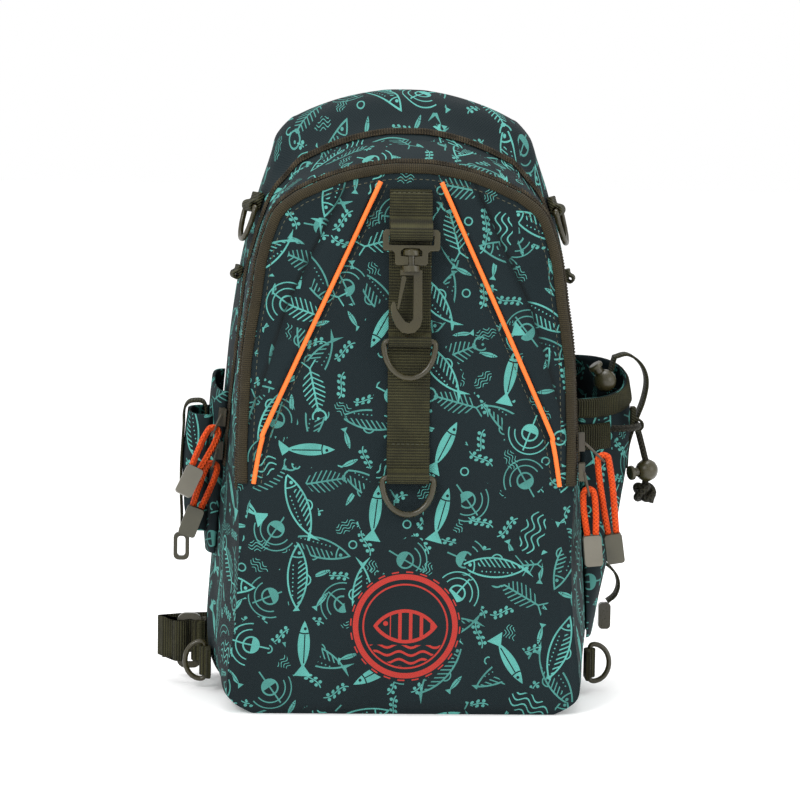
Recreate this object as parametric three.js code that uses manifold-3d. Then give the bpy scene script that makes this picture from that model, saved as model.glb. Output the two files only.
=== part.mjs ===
// A fishing tackle sling bag that stands on its base, in millimetres.
// X is to the right seen from the front, the front faces -Y, Z is up.
import * as THREE from 'three';
import { mergeVertices } from 'three/addons/utils/BufferGeometryUtils.js';
import Module from 'manifold-3d';

const wasm = await Module();
wasm.setup();

// Bag body
const bagHeight = 364;
const bagHalfWidth = 116;
const zipHeight = 336;
const zipHalfWidth = 112;
const panelHeight = 321;
const panelHalfWidth = 104;
const frontDepthBase = 62;
const frontDepthTop = 42;
const dividerDepth = 8;
const crestDepth = 30;
const rearDepth = 48;
const clothWall = 2;
const panelEdgeLift = 3;
const panelCrown = 7;
const pleatHeight = 2.6;
const backPanelThickness = 9;
const backPanelCrown = 4;

// Trim
const clearance = 0.3;
const seatClearance = 0.5;
const pocketClearance = 0.8;
const bindingLift = 0.8;
const bindingWidth = 6.4;
const bindingHeight = 3.4;
const zipWidth = 5.4;
const zipThickness = 1.5;
const pipingRadius = 1.4;
const webbingThickness = 1.5;
const stripWidth = 25;
const tabWidth = 20;

// Hardware
const ringWire = 4.2;
const ringWidth = 34.4;
const ringDrop = 26;
const smallRingWire = 3.8;
const shoulderRingDrop = 24.6;
const cornerRingDrop = 16;
const cornerRingWidth = 27;
const swivelWidth = 33;
const swivelLoopHeight = 12.2;
const swivelPlate = 5;
const swivelStandOff = 8.6;
const housingWidth = 19;
const housingHeight = 8.4;
const barrelRadius = 5.5;
const stemRadius = 2.8;
const hookLength = 39;
const hookWidth = 18;
const hookPlate = 4.4;
const lockRadius = 7;
const lockBore = 3.4;
const buttonRadius = 4.5;
const buttonTravel = 3;
const cordDiameter = 4;
const pullCordDiameter = 3.8;
const pullEndLength = 18;
const pullEndWidth = 10.5;
const pullEndThickness = 6.5;

// Side pockets
const bottleOut = 32;
const sleeveOut = 8;
const pouchOut = 12.5;
const pocketWall = 1.8;
const rimThickness = 1.6;

// Sling strap
const strapWidth = 62;
const strapThickness = 9;
const strapWebbingWidth = 25;

// Outline of the bag from base to shoulder. height is a share of the section's height, and
// panel, zip and crest are shares of each section's half width. dome says how much of the
// arched top an inner row takes.
const outlineRows = [
  { height: 0, panel: 0.846, zip: 0.82, crest: 0.81, dome: 0 },
  { height: 0.03, panel: 0.985, zip: 0.955, crest: 0.95, dome: 0 },
  { height: 0.09, panel: 0.985, zip: 1, crest: 1, dome: 0 },
  { height: 0.17, panel: 0.952, zip: 0.996, crest: 0.996, dome: 0 },
  { height: 0.3, panel: 0.935, zip: 0.973, crest: 0.961, dome: 0 },
  { height: 0.42, panel: 0.945, zip: 0.942, crest: 0.94, dome: 0 },
  { height: 0.54, panel: 0.94, zip: 0.911, crest: 0.912, dome: 0 },
  { height: 0.66, panel: 0.925, zip: 0.87, crest: 0.869, dome: 0.02 },
  { height: 0.75, panel: 0.886, zip: 0.842, crest: 0.819, dome: 0.12 },
  { height: 0.83, panel: 0.851, zip: 0.777, crest: 0.754, dome: 0.35 },
  { height: 0.89, panel: 0.795, zip: 0.705, crest: 0.694, dome: 0.7 },
  { height: 0.92, panel: 0.745, zip: 0.625, crest: 0.664, dome: 1 },
  { height: 0.945, panel: 0.649, zip: 0.5625, crest: 0.595, dome: 1 },
];
// Columns of the panel grid, as shares of the half width inside the edge.
const columnShares = [0.14, 0.26, 0.38, 0.5, 0.62, 0.74, 0.87, 1];
const edgeInset = 7.2;
const zipEndRow = 5;

const rowCount = outlineRows.length - 1;
const columns = [...columnShares.map((share) => -share).reverse(), ...columnShares];
const columnCount = columns.length + 1;
const lastShare = 0.93;

const sections = {
  panel: { height: panelHeight, half: panelHalfWidth, column: 'panel' },
  zip: { height: zipHeight, half: zipHalfWidth, column: 'zip' },
  crest: { height: bagHeight, half: bagHalfWidth, column: 'crest' },
};

// Materials
const cloth = { color: 0x263237, roughness: 0.85, metalness: 0 };
const olive = { color: 0x3a3524, roughness: 0.9, metalness: 0 };
const binding = { color: 0x4a4030, roughness: 0.85, metalness: 0 };
const plastic = { color: 0x4b4533, roughness: 0.45, metalness: 0 };
const orange = { color: 0xf4752c, roughness: 0.7, metalness: 0 };
const pullGrey = { color: 0x8c877c, roughness: 0.5, metalness: 0 };
const bronze = { color: 0x3c382f, roughness: 0.4, metalness: 0.8 };

const bag = new THREE.Group();

function addMesh(name, geometry, finish) {
  const mesh = new THREE.Mesh(tidied(geometry), new THREE.MeshStandardMaterial(finish));
  mesh.name = name;
  bag.add(mesh);
  return mesh;
}

function lerp(a, b, t) {
  return a + (b - a) * t;
}

function mixPoints(a, b, t) {
  return new THREE.Vector3().lerpVectors(a, b, t);
}

// Closed meshes

function meshOf(points, faces) {
  const geometry = new THREE.BufferGeometry();
  const positions = points.flatMap((p) => [p.x, p.y, p.z]);
  geometry.setAttribute('position', new THREE.Float32BufferAttribute(positions, 3));
  geometry.setIndex(faces);
  return geometry;
}

// Shares corner points, drops faces without area and turns the faces outward.
function tidied(geometry) {
  const bare = geometry.clone();
  bare.deleteAttribute('normal');
  bare.deleteAttribute('uv');
  const merged = mergeVertices(bare, 1e-3);
  const index = Array.from(merged.index.array);
  const kept = [];
  for (let k = 0; k < index.length; k += 3) {
    const [a, b, c] = index.slice(k, k + 3);
    if (a !== b && b !== c && a !== c) kept.push(a, b, c);
  }
  merged.setIndex(kept);
  return outward(merged);
}

// Turns a closed geometry's faces outward, whichever way its loops ran.
function outward(geometry) {
  const position = geometry.attributes.position;
  const index = geometry.index;
  const a = new THREE.Vector3();
  const b = new THREE.Vector3();
  const c = new THREE.Vector3();
  let volume = 0;
  for (let k = 0; k < index.count; k += 3) {
    a.fromBufferAttribute(position, index.getX(k));
    b.fromBufferAttribute(position, index.getX(k + 1));
    c.fromBufferAttribute(position, index.getX(k + 2));
    volume += a.dot(b.cross(c));
  }
  if (volume < 0) {
    for (let k = 0; k < index.count; k += 3) {
      const second = index.getX(k + 1);
      index.setX(k + 1, index.getX(k + 2));
      index.setX(k + 2, second);
    }
  }
  return geometry;
}

// Joins loops of equal length into a skin, closed on itself or capped at both ends.
function loft(loops, closed = false) {
  const size = loops[0].length;
  const faces = [];
  const last = closed ? loops.length : loops.length - 1;
  for (let row = 0; row < last; row++) {
    const next = (row + 1) % loops.length;
    for (let k = 0; k < size; k++) {
      const side = (k + 1) % size;
      faces.push(row * size + k, row * size + side, next * size + side);
      faces.push(row * size + k, next * size + side, next * size + k);
    }
  }
  if (!closed) {
    const flat = THREE.ShapeUtils.triangulateShape(flatten(loops[0]), []);
    const end = THREE.ShapeUtils.triangulateShape(flatten(loops[loops.length - 1]), []);
    const from = (loops.length - 1) * size;
    flat.forEach((t) => faces.push(t[0], t[2], t[1]));
    end.forEach((t) => faces.push(from + t[0], from + t[1], from + t[2]));
  }
  return meshOf(loops.flat(), faces);
}

// Puts a loop in its own plane, for its cap.
function flatten(loop) {
  const normal = new THREE.Vector3();
  loop.forEach((p, k) => {
    normal.add(new THREE.Vector3().crossVectors(p, loop[(k + 1) % loop.length]));
  });
  normal.normalize();
  const across = new THREE.Vector3().subVectors(loop[1], loop[0]).normalize();
  const up = new THREE.Vector3().crossVectors(normal, across);
  return loop.map((p) => new THREE.Vector2(p.dot(across), p.dot(up)));
}

// Solid joins and cuts

function toManifold(geometry) {
  const merged = tidied(geometry);
  return new wasm.Manifold(new wasm.Mesh({
    numProp: 3,
    vertProperties: new Float32Array(merged.attributes.position.array),
    triVerts: new Uint32Array(merged.index.array),
  }));
}

function fromManifold(solid) {
  const mesh = solid.getMesh();
  const geometry = new THREE.BufferGeometry();
  geometry.setAttribute('position', new THREE.BufferAttribute(mesh.vertProperties, 3));
  geometry.setIndex(new THREE.BufferAttribute(mesh.triVerts, 1));
  return geometry;
}

function joined(...geometries) {
  const [first, ...rest] = geometries.map(toManifold);
  return fromManifold(rest.reduce((solid, piece) => solid.add(piece), first));
}

function cut(geometry, ...tools) {
  return fromManifold(tools.reduce((solid, t) => solid.subtract(toManifold(t)), toManifold(geometry)));
}

// Basic shapes

// A flat outline in X and Z, thickened about Y = 0.
function plate(shape, thickness, bevel = 0) {
  const geometry = new THREE.ExtrudeGeometry(shape, {
    depth: thickness - 2 * bevel,
    bevelEnabled: bevel > 0,
    bevelThickness: bevel,
    bevelSize: bevel,
    bevelOffset: -bevel,
    bevelSegments: 1,
    curveSegments: 3,
  });
  geometry.translate(0, 0, -thickness / 2 + bevel);
  geometry.rotateX(Math.PI / 2);
  return geometry;
}

function roundedBox(width, height, radius) {
  const shape = new THREE.Shape();
  const x = width / 2 - radius;
  const y = height / 2 - radius;
  shape.absarc(x, y, radius, 0, Math.PI / 2);
  shape.absarc(-x, y, radius, Math.PI / 2, Math.PI);
  shape.absarc(-x, -y, radius, Math.PI, 1.5 * Math.PI);
  shape.absarc(x, -y, radius, 1.5 * Math.PI, 2 * Math.PI);
  return shape;
}

function turned(profile, sides) {
  return new THREE.LatheGeometry(profile.map(([r, z]) => new THREE.Vector2(r, z)), sides)
    .rotateX(Math.PI / 2);
}

function cordTube(points, diameter, steps) {
  const circle = new THREE.Shape().absarc(0, 0, diameter / 2, 0, 2 * Math.PI);
  const curve = new THREE.CatmullRomCurve3(points.map((p) => new THREE.Vector3(...p)));
  return new THREE.ExtrudeGeometry(circle, { steps, extrudePath: curve, curveSegments: 4 });
}

// Sweeps a regular section round a closed path that lies in one plane.
function wireLoop(path, wire, normal, sides = 6) {
  const loops = path.map((p, k) => {
    const before = path[(k + path.length - 1) % path.length];
    const after = path[(k + 1) % path.length];
    const along = new THREE.Vector3().subVectors(after, before).normalize();
    const out = new THREE.Vector3().crossVectors(along, normal).normalize();
    return Array.from({ length: sides }, (_, s) => {
      const angle = (2 * Math.PI * (s + 0.5)) / sides;
      return p.clone()
        .addScaledVector(out, (wire / 2) * Math.cos(angle))
        .addScaledVector(normal, (wire / 2) * Math.sin(angle));
    });
  });
  return loft(loops, true);
}

// A D-ring with its bar on the local X axis and its bow hanging down.
function dRing(width, drop, wire) {
  const half = (width - wire) / 2;
  const bow = drop - wire;
  const corner = 2.5;
  const path = [
    new THREE.Vector3(-half + corner, 0, 0),
    new THREE.Vector3(half - corner, 0, 0),
    new THREE.Vector3(half - corner * 0.3, 0, -corner * 0.3),
    new THREE.Vector3(half, 0, -corner),
  ];
  const arcSteps = 9;
  for (let k = 1; k < arcSteps; k++) {
    const angle = (Math.PI * k) / arcSteps;
    path.push(new THREE.Vector3(
      half * Math.cos(angle), 0, -corner - (bow - corner) * Math.sin(angle)));
  }
  path.push(new THREE.Vector3(-half, 0, -corner));
  path.push(new THREE.Vector3(-half + corner * 0.3, 0, -corner * 0.3));
  return wireLoop(path, wire, new THREE.Vector3(0, 1, 0));
}

// A webbing fold round a bar. The bar runs along local X through the origin, the stitched end
// goes up local Z, and the webbing lies offset by `lift` in +Y from the bar's centre.
function webbingFold(width, wire, lift, stitched) {
  const eye = wire / 2 + clearance;
  const outer = eye + webbingThickness;
  const shape = new THREE.Shape();
  const near = lift - 2 * webbingThickness;
  const startAngle = Math.acos(THREE.MathUtils.clamp(-near / outer, -1, 1));
  shape.moveTo(lift, stitched);
  shape.lineTo(near, stitched);
  shape.lineTo(near, outer * 0.9 + Math.max(0, near));
  const from = Math.PI - Math.min(startAngle, Math.PI * 0.4);
  const steps = 8;
  for (let k = 0; k <= steps; k++) {
    const angle = lerp(from, 2 * Math.PI, k / steps);
    shape.lineTo(outer * Math.cos(angle), outer * Math.sin(angle));
  }
  shape.lineTo(lift, outer * 0.9 + Math.max(0, near));
  const hole = new THREE.Path();
  hole.absarc(0, 0, eye, 0, 2 * Math.PI, true);
  shape.holes.push(hole);
  const geometry = new THREE.ExtrudeGeometry(shape, {
    depth: width, bevelEnabled: false, curveSegments: 5,
  });
  geometry.translate(0, 0, -width / 2);
  geometry.rotateY(Math.PI / 2);
  geometry.rotateX(Math.PI / 2);
  return geometry;
}

// Where the bar of a fold lies off the face that its webbing is sewn to.
function barStandOff(wire) {
  return wire / 2 + webbingThickness + 2 * clearance;
}

// Body surface

// Point of a section's edge or of the grid inside it, pulled in by `inset`.
function outlinePoint(section, column, row, inset = 0) {
  const { height, half } = sections[section];
  const data = outlineRows[row];
  const share = sections[section].column;
  const topRow = outlineRows[rowCount];
  const edge = column === 0 || column === columnCount || row === 0 || row === rowCount;
  const reach = edge ? 0 : edgeInset;
  const place = column === 0 ? -1 : column === columnCount ? 1 : columns[column - 1];
  const across = edge && Math.abs(place) <= 1 && column > 0 && column < columnCount
    ? place * lastShare : place;
  const rowHalf = row >= rowCount - 1 && !edge
    ? half * topRow[share] : half * data[share];
  const shoulder = height * data.height;
  const domeRise = height * (1 - topRow.height);
  const innerTop = height - edgeInset - height * outlineRows[rowCount - 1].height;
  const dome = row === rowCount ? domeRise : edge ? 0 : innerTop * data.dome;
  const x = across * (rowHalf - inset - reach);
  const tall = shoulder + dome * (1 - across * across);
  return new THREE.Vector2(x, inset + tall * ((height - 2 * inset) / height));
}

function mixedOutline(from, to, t, column, row, inset = 0) {
  const a = outlinePoint(from, column, row, inset);
  const b = outlinePoint(to, column, row, inset);
  return a.lerp(b, t);
}

// The rim of the grid, from the lower left corner round to it again.
const rimNodes = [];
for (let column = 0; column < columnCount; column++) rimNodes.push([column, 0]);
for (let row = 0; row < rowCount; row++) rimNodes.push([columnCount, row]);
for (let column = columnCount; column > 0; column--) rimNodes.push([column, rowCount]);
for (let row = rowCount; row > 0; row--) rimNodes.push([0, row]);

function rimLoop(pointAt) {
  return rimNodes.map(([column, row]) => pointAt(column, row));
}

// A cup: a patch over its closed end, skins along `outerLoops` and `innerLoops`, a rim between.
function cup(outerAt, outerLoops, innerLoops, innerAt) {
  const points = [];
  const faces = [];
  const patch = (pointAt, flip) => {
    const start = points.length;
    for (let row = 0; row <= rowCount; row++) {
      for (let column = 0; column <= columnCount; column++) points.push(pointAt(column, row));
    }
    const at = (column, row) => start + row * (columnCount + 1) + column;
    for (let row = 0; row < rowCount; row++) {
      for (let column = 0; column < columnCount; column++) {
        const quad = [at(column, row), at(column + 1, row), at(column + 1, row + 1), at(column, row + 1)];
        const left = column < columnCount / 2 - 0.5;
        const order = left
          ? [quad[0], quad[1], quad[3], quad[1], quad[2], quad[3]]
          : [quad[0], quad[1], quad[2], quad[0], quad[2], quad[3]];
        if (flip) order.reverse();
        faces.push(...order);
      }
    }
    return rimNodes.map(([column, row]) => at(column, row));
  };
  const skin = (a, b) => {
    for (let k = 0; k < a.length; k++) {
      const side = (k + 1) % a.length;
      faces.push(a[k], b[side], a[side], a[k], b[k], b[side]);
    }
  };
  const addLoop = (loop) => {
    const start = points.length;
    points.push(...loop);
    return loop.map((_, k) => start + k);
  };
  let current = patch(outerAt, false);
  for (const loop of outerLoops) {
    const next = addLoop(loop);
    skin(current, next);
    current = next;
  }
  for (const loop of [...innerLoops].reverse()) {
    const next = addLoop(loop);
    skin(current, next);
    current = next;
  }
  skin(current, patch(innerAt, true));
  return meshOf(points, faces);
}

// Front pocket

function panelDepth(height) {
  return -lerp(frontDepthBase, frontDepthTop, height / panelHeight);
}

// Piping and pleats spread from the top of the front panel to its sides. across and height
// are shares of the panel's half width and height.
const pipingRoute = [
  { across: 0.17, height: 0.968 },
  { across: 0.745, height: 0.559 },
  { across: 0.815, height: 0.498 },
  { across: 0.858, height: 0.42 },
];
const pleatRoute = [
  { across: 0.375, height: 0.95 },
  { across: 0.67, height: 0.75 },
  { across: 0.77, height: 0.645 },
];

function onPanel({ across, height }) {
  return new THREE.Vector2(across * panelHalfWidth, height * panelHeight);
}

// How far a spot lies outside a route, measured across the panel.
function outsideRoute(route, x, z) {
  const places = route.map(onPanel);
  for (let k = 0; k < places.length - 1; k++) {
    const [a, b] = [places[k], places[k + 1]];
    if (z <= a.y && z >= b.y) return Math.abs(x) - lerp(a.x, b.x, (z - a.y) / (b.y - a.y));
  }
  return null;
}

function panelRelief(column, row, x, z) {
  const edge = column === 0 || column === columnCount || row === 0 || row === rowCount;
  if (edge) return 0;
  const share = x / panelHalfWidth;
  const rise = Math.sin((Math.PI * z) / panelHeight) ** 0.5;
  let relief = panelEdgeLift + panelCrown * (1 - share ** 2) * rise;
  const fromPiping = outsideRoute(pipingRoute, x, z);
  const fromPleat = outsideRoute(pleatRoute, x, z);
  if (fromPiping !== null && fromPiping > 0 && fromPleat !== null) {
    const middle = (fromPiping + Math.max(fromPleat, -fromPiping)) / 2;
    relief += pleatHeight * Math.exp(-((middle / 9) ** 2));
    if (fromPleat > 0) relief -= pleatHeight * 0.6;
  }
  return relief;
}

function panelPoint(column, row) {
  const { x, y: z } = outlinePoint('panel', column, row);
  return new THREE.Vector3(x, panelDepth(z) - panelRelief(column, row, x, z), z);
}

function panelInside(column, row) {
  const { x, y: z } = outlinePoint('panel', column, row, clothWall);
  return new THREE.Vector3(x, panelDepth(z) - panelRelief(column, row, x, z) + clothWall, z);
}

const dividerMix = 0.9;
const pocketBack = -dividerDepth - clearance;

function gussetBack(column, row, inset = 0) {
  const { x, y: z } = mixedOutline('panel', 'zip', dividerMix, column, row, inset);
  return new THREE.Vector3(x, pocketBack, z);
}

const frontPocket = addMesh('front_pocket', cup(
  panelPoint,
  [rimLoop((column, row) => gussetBack(column, row))],
  [rimLoop((column, row) => gussetBack(column, row, clothWall))],
  panelInside,
), cloth);

// Main shell

// Depth of each section of the shell, with how far it has gone from the zip to the crest.
const shellSections = [
  { depth: -dividerDepth, mix: 0 },
  { depth: crestDepth * 0.2, mix: 0.31 },
  { depth: crestDepth * 0.6, mix: 0.81 },
  { depth: crestDepth, mix: 1 },
  { depth: rearDepth, mix: 0.97 },
];

function shellPoint(index, column, row, inset = 0) {
  const { depth, mix } = shellSections[index];
  const flat = index === 0
    ? mixedOutline('panel', 'zip', dividerMix, column, row, inset)
    : mixedOutline('zip', 'crest', mix, column, row, inset);
  return new THREE.Vector3(flat.x, depth, flat.y);
}

const shellLoops = (inset) => shellSections.map((_, index) => (
  rimLoop((column, row) => shellPoint(index, column, row, inset))));
const insideShell = shellLoops(clothWall);
insideShell[0].forEach((p) => p.setY(clothWall - dividerDepth));
const mainShell = addMesh('main_shell', loft([...shellLoops(0), ...insideShell.reverse()]), cloth);

// Back panel, padded inside its edge
const backFront = rearDepth + clearance;
const backEdge = backFront + backPanelThickness - backPanelCrown;

function backLoop(depth, reach) {
  return rimLoop((column, row) => {
    const node = reach ? innerNeighbour(column, row) : [column, row];
    const { x, y: z } = mixedOutline('zip', 'crest', 0.97, ...node);
    return new THREE.Vector3(x, depth, z);
  });
}

function backPanelLoops() {
  const edge = backLoop(backEdge, false);
  const pad = backLoop(backFront + backPanelThickness, true)
    .map((p, k) => mixPoints(edge[k], p, 0.98).setY(p.y));
  return [backLoop(backFront, false), edge, pad];
}
addMesh('back_panel', loft(backPanelLoops()), cloth);

// Seats: the point where a line meets a finished mesh.
const caster = new THREE.Raycaster();

function seat(mesh, from, direction) {
  mesh.material.side = THREE.DoubleSide;
  caster.set(from, direction);
  const hits = caster.intersectObject(mesh);
  mesh.material.side = THREE.FrontSide;
  return hits[0].point;
}

function onFront(x, z) {
  const from = new THREE.Vector3(x, -2 * frontDepthBase, z);
  return seat(frontPocket, from, new THREE.Vector3(0, 1, 0));
}

function onSide(mesh, side, y, z) {
  const from = new THREE.Vector3(side * 2 * bagHalfWidth, y, z);
  return seat(mesh, from, new THREE.Vector3(-side, 0, 0));
}

// Bands along the arch
const archNodes = rimNodes
  .slice(columnCount + zipEndRow, rimNodes.length - zipEndRow + 1);

// Sweeps a section along the arch. frameAt gives the seat's two edges at a node, and `bulge`
// lists places across the band as (share of its width, height off the seat).
function archBand(frameAt, bulge) {
  const rows = archNodes.map(([column, row]) => frameAt(column, row));
  const loops = rows.map(([a, b], k) => {
    const before = rows[Math.max(0, k - 1)][0];
    const after = rows[Math.min(rows.length - 1, k + 1)][0];
    const along = new THREE.Vector3().subVectors(after, before);
    const across = new THREE.Vector3().subVectors(b, a);
    const normal = new THREE.Vector3().crossVectors(along, across).normalize();
    return bulge.map(([share, off]) => mixPoints(a, b, share).addScaledVector(normal, off));
  });
  return loft(loops);
}

function innerNeighbour(column, row) {
  return [
    THREE.MathUtils.clamp(column, 1, columnCount - 1),
    THREE.MathUtils.clamp(row, 1, rowCount - 1),
  ];
}

function bindingSeat(column, row) {
  const edge = panelPoint(column, row);
  const inner = panelPoint(...innerNeighbour(column, row));
  const way = new THREE.Vector3().subVectors(inner, edge).normalize();
  return [edge.clone().addScaledVector(way, 0.4), edge.clone().addScaledVector(way, 0.4 + bindingWidth)];
}
addMesh('front_binding', archBand(bindingSeat, [
  [0, bindingLift], [1, bindingLift], [0.97, bindingHeight * 0.6],
  [0.6, bindingHeight], [0.25, bindingHeight * 0.9], [0, bindingHeight * 0.5],
]), binding);

const zipBand = [
  [0, seatClearance], [0, zipThickness + seatClearance],
  [1, zipThickness + seatClearance], [1, seatClearance],
];

function frontZipSeat(column, row) {
  const front = panelPoint(column, row);
  const back = gussetBack(column, row);
  const way = new THREE.Vector3().subVectors(back, front).normalize();
  return [front.clone().addScaledVector(way, 0.8 + zipWidth), front.clone().addScaledVector(way, 0.8)];
}
addMesh('front_zip', archBand(frontZipSeat, zipBand), binding);

function backZipSeat(column, row) {
  const front = shellPoint(0, column, row);
  const back = shellPoint(1, column, row);
  const way = new THREE.Vector3().subVectors(back, front).normalize();
  return [front.clone().addScaledVector(way, dividerDepth + zipWidth / 2),
    front.clone().addScaledVector(way, dividerDepth - zipWidth / 2)];
}
const backZip = addMesh('back_zip', archBand(backZipSeat, zipBand), binding);

// Piping
function routeOnPanel(route, side, count, off) {
  const places = route.map(onPanel).map((p) => new THREE.Vector2(side * p.x, p.y));
  const line = new THREE.CatmullRomCurve3(places.map((p) => new THREE.Vector3(p.x, 0, p.y)));
  return line.getSpacedPoints(count).map((p) => {
    const spot = onFront(p.x, p.z);
    return [spot.x, spot.y - off, spot.z];
  });
}
for (const [side, word] of [[-1, 'left'], [1, 'right']]) {
  const points = routeOnPanel(pipingRoute, side, 16, pipingRadius + seatClearance);
  addMesh(`piping_${word}`, cordTube(points, 2 * pipingRadius, 16), orange);
}

// Centre webbing. The heights are shares of the front panel's height.
const stripTop = 0.955 * panelHeight;
const swivelBarHeight = 0.878 * panelHeight;
const midRingHeight = 0.684 * panelHeight;
const lowRingHeight = 0.438 * panelHeight;

function stripFace(z) {
  return onFront(0, z).y - seatClearance - webbingThickness;
}

function ribbonShape(points, thickness) {
  const offset = points.map((p, k) => {
    const before = points[Math.max(0, k - 1)];
    const after = points[Math.min(points.length - 1, k + 1)];
    const along = new THREE.Vector2().subVectors(after, before).normalize();
    return new THREE.Vector2(p.x - along.y * thickness, p.y + along.x * thickness);
  });
  return new THREE.Shape([...points, ...offset.reverse()]);
}

// A ribbon whose profile lies in Y and Z and whose width is along X.
function ribbonAcrossX(points, thickness, width) {
  const geometry = new THREE.ExtrudeGeometry(ribbonShape(points, thickness), {
    depth: width, bevelEnabled: false,
  });
  geometry.translate(0, 0, -width / 2);
  geometry.rotateY(Math.PI / 2);
  geometry.rotateX(Math.PI / 2);
  return geometry;
}

// A ribbon whose profile lies in X and Z and whose width is along Y.
function ribbonAcrossY(points, thickness, width, middle) {
  const geometry = new THREE.ExtrudeGeometry(ribbonShape(points, thickness), {
    depth: width, bevelEnabled: false,
  });
  geometry.rotateX(Math.PI / 2);
  geometry.translate(0, middle + width / 2, 0);
  return geometry;
}

function tiltAlongFront(geometry, z, standOff) {
  geometry.rotateX(-surfaceTilt(z));
  geometry.translate(0, stripFace(z) - standOff, z);
  return geometry;
}

// Lean of the front webbing at a height: the angle that takes +Z onto its face.
function surfaceTilt(z) {
  const span = 12;
  return Math.atan2(onFront(0, z + span).y - onFront(0, z - span).y, 2 * span);
}

const stripBottom = lowRingHeight + 6;
const stripSteps = 16;
const stripLine = Array.from({ length: stripSteps + 1 }, (_, k) => {
  const z = lerp(stripBottom, stripTop, k / stripSteps);
  return new THREE.Vector2(onFront(0, z).y - seatClearance, z);
});

const stripRibbon = ribbonAcrossX(stripLine, webbingThickness, stripWidth);

// Folds and fittings on the front webbing
const swivelBar = 3.5;
const swivelEye = Math.hypot(swivelBar, swivelPlate);
const topStitched = stripTop - swivelBarHeight - 1;
const midStitched = 7;
const lowStitched = 18;

function frontFold(wire, standOff, stitched, z, sink = 0) {
  const fold = webbingFold(stripWidth, wire, standOff - clearance, stitched);
  return tiltAlongFront(fold, z, standOff - sink);
}

const ringStandOff = barStandOff(ringWire);
const lowFold = frontFold(ringWire, ringStandOff, lowStitched, lowRingHeight, 0.6);
addMesh('webbing_strip', joined(stripRibbon, lowFold), olive);
addMesh('top_fold', frontFold(swivelEye, swivelStandOff, topStitched, swivelBarHeight), olive);
addMesh('mid_fold', frontFold(ringWire, ringStandOff, midStitched, midRingHeight), olive);

function hingeOf(mesh, origin, axis) {
  mesh.userData.hinge = { origin: origin.toArray(), axis: axis.toArray() };
}

const leftward = new THREE.Vector3(-1, 0, 0);
const frontRings = [['mid_ring', midRingHeight, 0], ['low_ring', lowRingHeight, 0.6]];
for (const [name, z, sink] of frontRings) {
  const ring = tiltAlongFront(dRing(ringWidth, ringDrop, ringWire), z, ringStandOff - sink);
  const mesh = addMesh(name, ring, plastic);
  hingeOf(mesh, new THREE.Vector3(0, stripFace(z) - ringStandOff + sink, z), leftward);
}

// Swivel hook. Local origin in the middle of the loop's upper bar.
const loopBottom = swivelBar / 2 - swivelLoopHeight;
const housingBottom = loopBottom - housingHeight;
const windowTop = loopBottom + 1.4;
const windowBottom = windowTop - 4.4;
const collarTop = housingBottom - clearance;
const collarHeight = 3.4;
const hookTop = collarTop - collarHeight;
const hookBottom = hookTop - hookLength + collarHeight;

function swivelLoopSolid() {
  const half = swivelWidth / 2;
  const shape = new THREE.Shape();
  shape.moveTo(-half + 1.5, swivelBar / 2);
  shape.lineTo(half - 1.5, swivelBar / 2);
  shape.lineTo(half, swivelBar / 2 - 1.5);
  shape.lineTo(half, loopBottom + 1);
  shape.lineTo(half - 1, loopBottom);
  shape.lineTo(housingWidth / 2 + 1.5, loopBottom);
  shape.lineTo(housingWidth / 2, loopBottom - 1.5);
  shape.lineTo(housingWidth / 2, housingBottom + 1);
  shape.lineTo(housingWidth / 2 - 1, housingBottom);
  shape.lineTo(-housingWidth / 2 + 1, housingBottom);
  shape.lineTo(-housingWidth / 2, housingBottom + 1);
  shape.lineTo(-housingWidth / 2, loopBottom - 1.5);
  shape.lineTo(-housingWidth / 2 - 1.5, loopBottom);
  shape.lineTo(-half + 1, loopBottom);
  shape.lineTo(-half, loopBottom + 1);
  shape.lineTo(-half, swivelBar / 2 - 1.5);
  const slot = new THREE.Path();
  const slotHalf = stripWidth / 2 + 0.5;
  const slotBottom = loopBottom + 3.2;
  slot.moveTo(-slotHalf, -swivelBar / 2);
  slot.lineTo(-slotHalf, slotBottom);
  slot.lineTo(slotHalf, slotBottom);
  slot.lineTo(slotHalf, -swivelBar / 2);
  const window = new THREE.Path();
  const windowHalf = barrelRadius + 0.6;
  window.moveTo(-windowHalf, windowTop - 1.5);
  window.lineTo(-windowHalf, windowBottom);
  window.lineTo(windowHalf, windowBottom);
  window.lineTo(windowHalf, windowTop - 1.5);
  window.lineTo(windowHalf - 2, windowTop);
  window.lineTo(-windowHalf + 2, windowTop);
  shape.holes.push(slot, window);
  const bore = new THREE.CylinderGeometry(
    stemRadius + clearance, stemRadius + clearance, 2 * housingHeight, 12)
    .rotateX(Math.PI / 2)
    .translate(0, 0, windowBottom - housingHeight);
  return cut(plate(shape, swivelPlate), bore);
}

// Outline of the hook as shares of its length below the collar and of its width.
const hookOutline = [
  { across: 0.08, down: -0.02 }, { across: 0.08, down: 0.76 }, { across: -0.04, down: 0.83 },
  { across: -0.17, down: 0.81 }, { across: -0.27, down: 0.75 }, { across: -0.46, down: 0.61 },
  { across: -0.5, down: 0.5 }, { across: -0.58, down: 0.48 }, { across: -0.65, down: 0.58 },
  { across: -0.6, down: 0.74 }, { across: -0.46, down: 0.89 }, { across: -0.28, down: 0.98 },
  { across: -0.08, down: 1 }, { across: 0.13, down: 0.98 }, { across: 0.3, down: 0.89 },
  { across: 0.37, down: 0.76 }, { across: 0.35, down: -0.02 },
];
const rootDepth = 2;
const knuckleRadius = 1.4;
const gateAcross = -0.23 * hookWidth;

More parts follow.
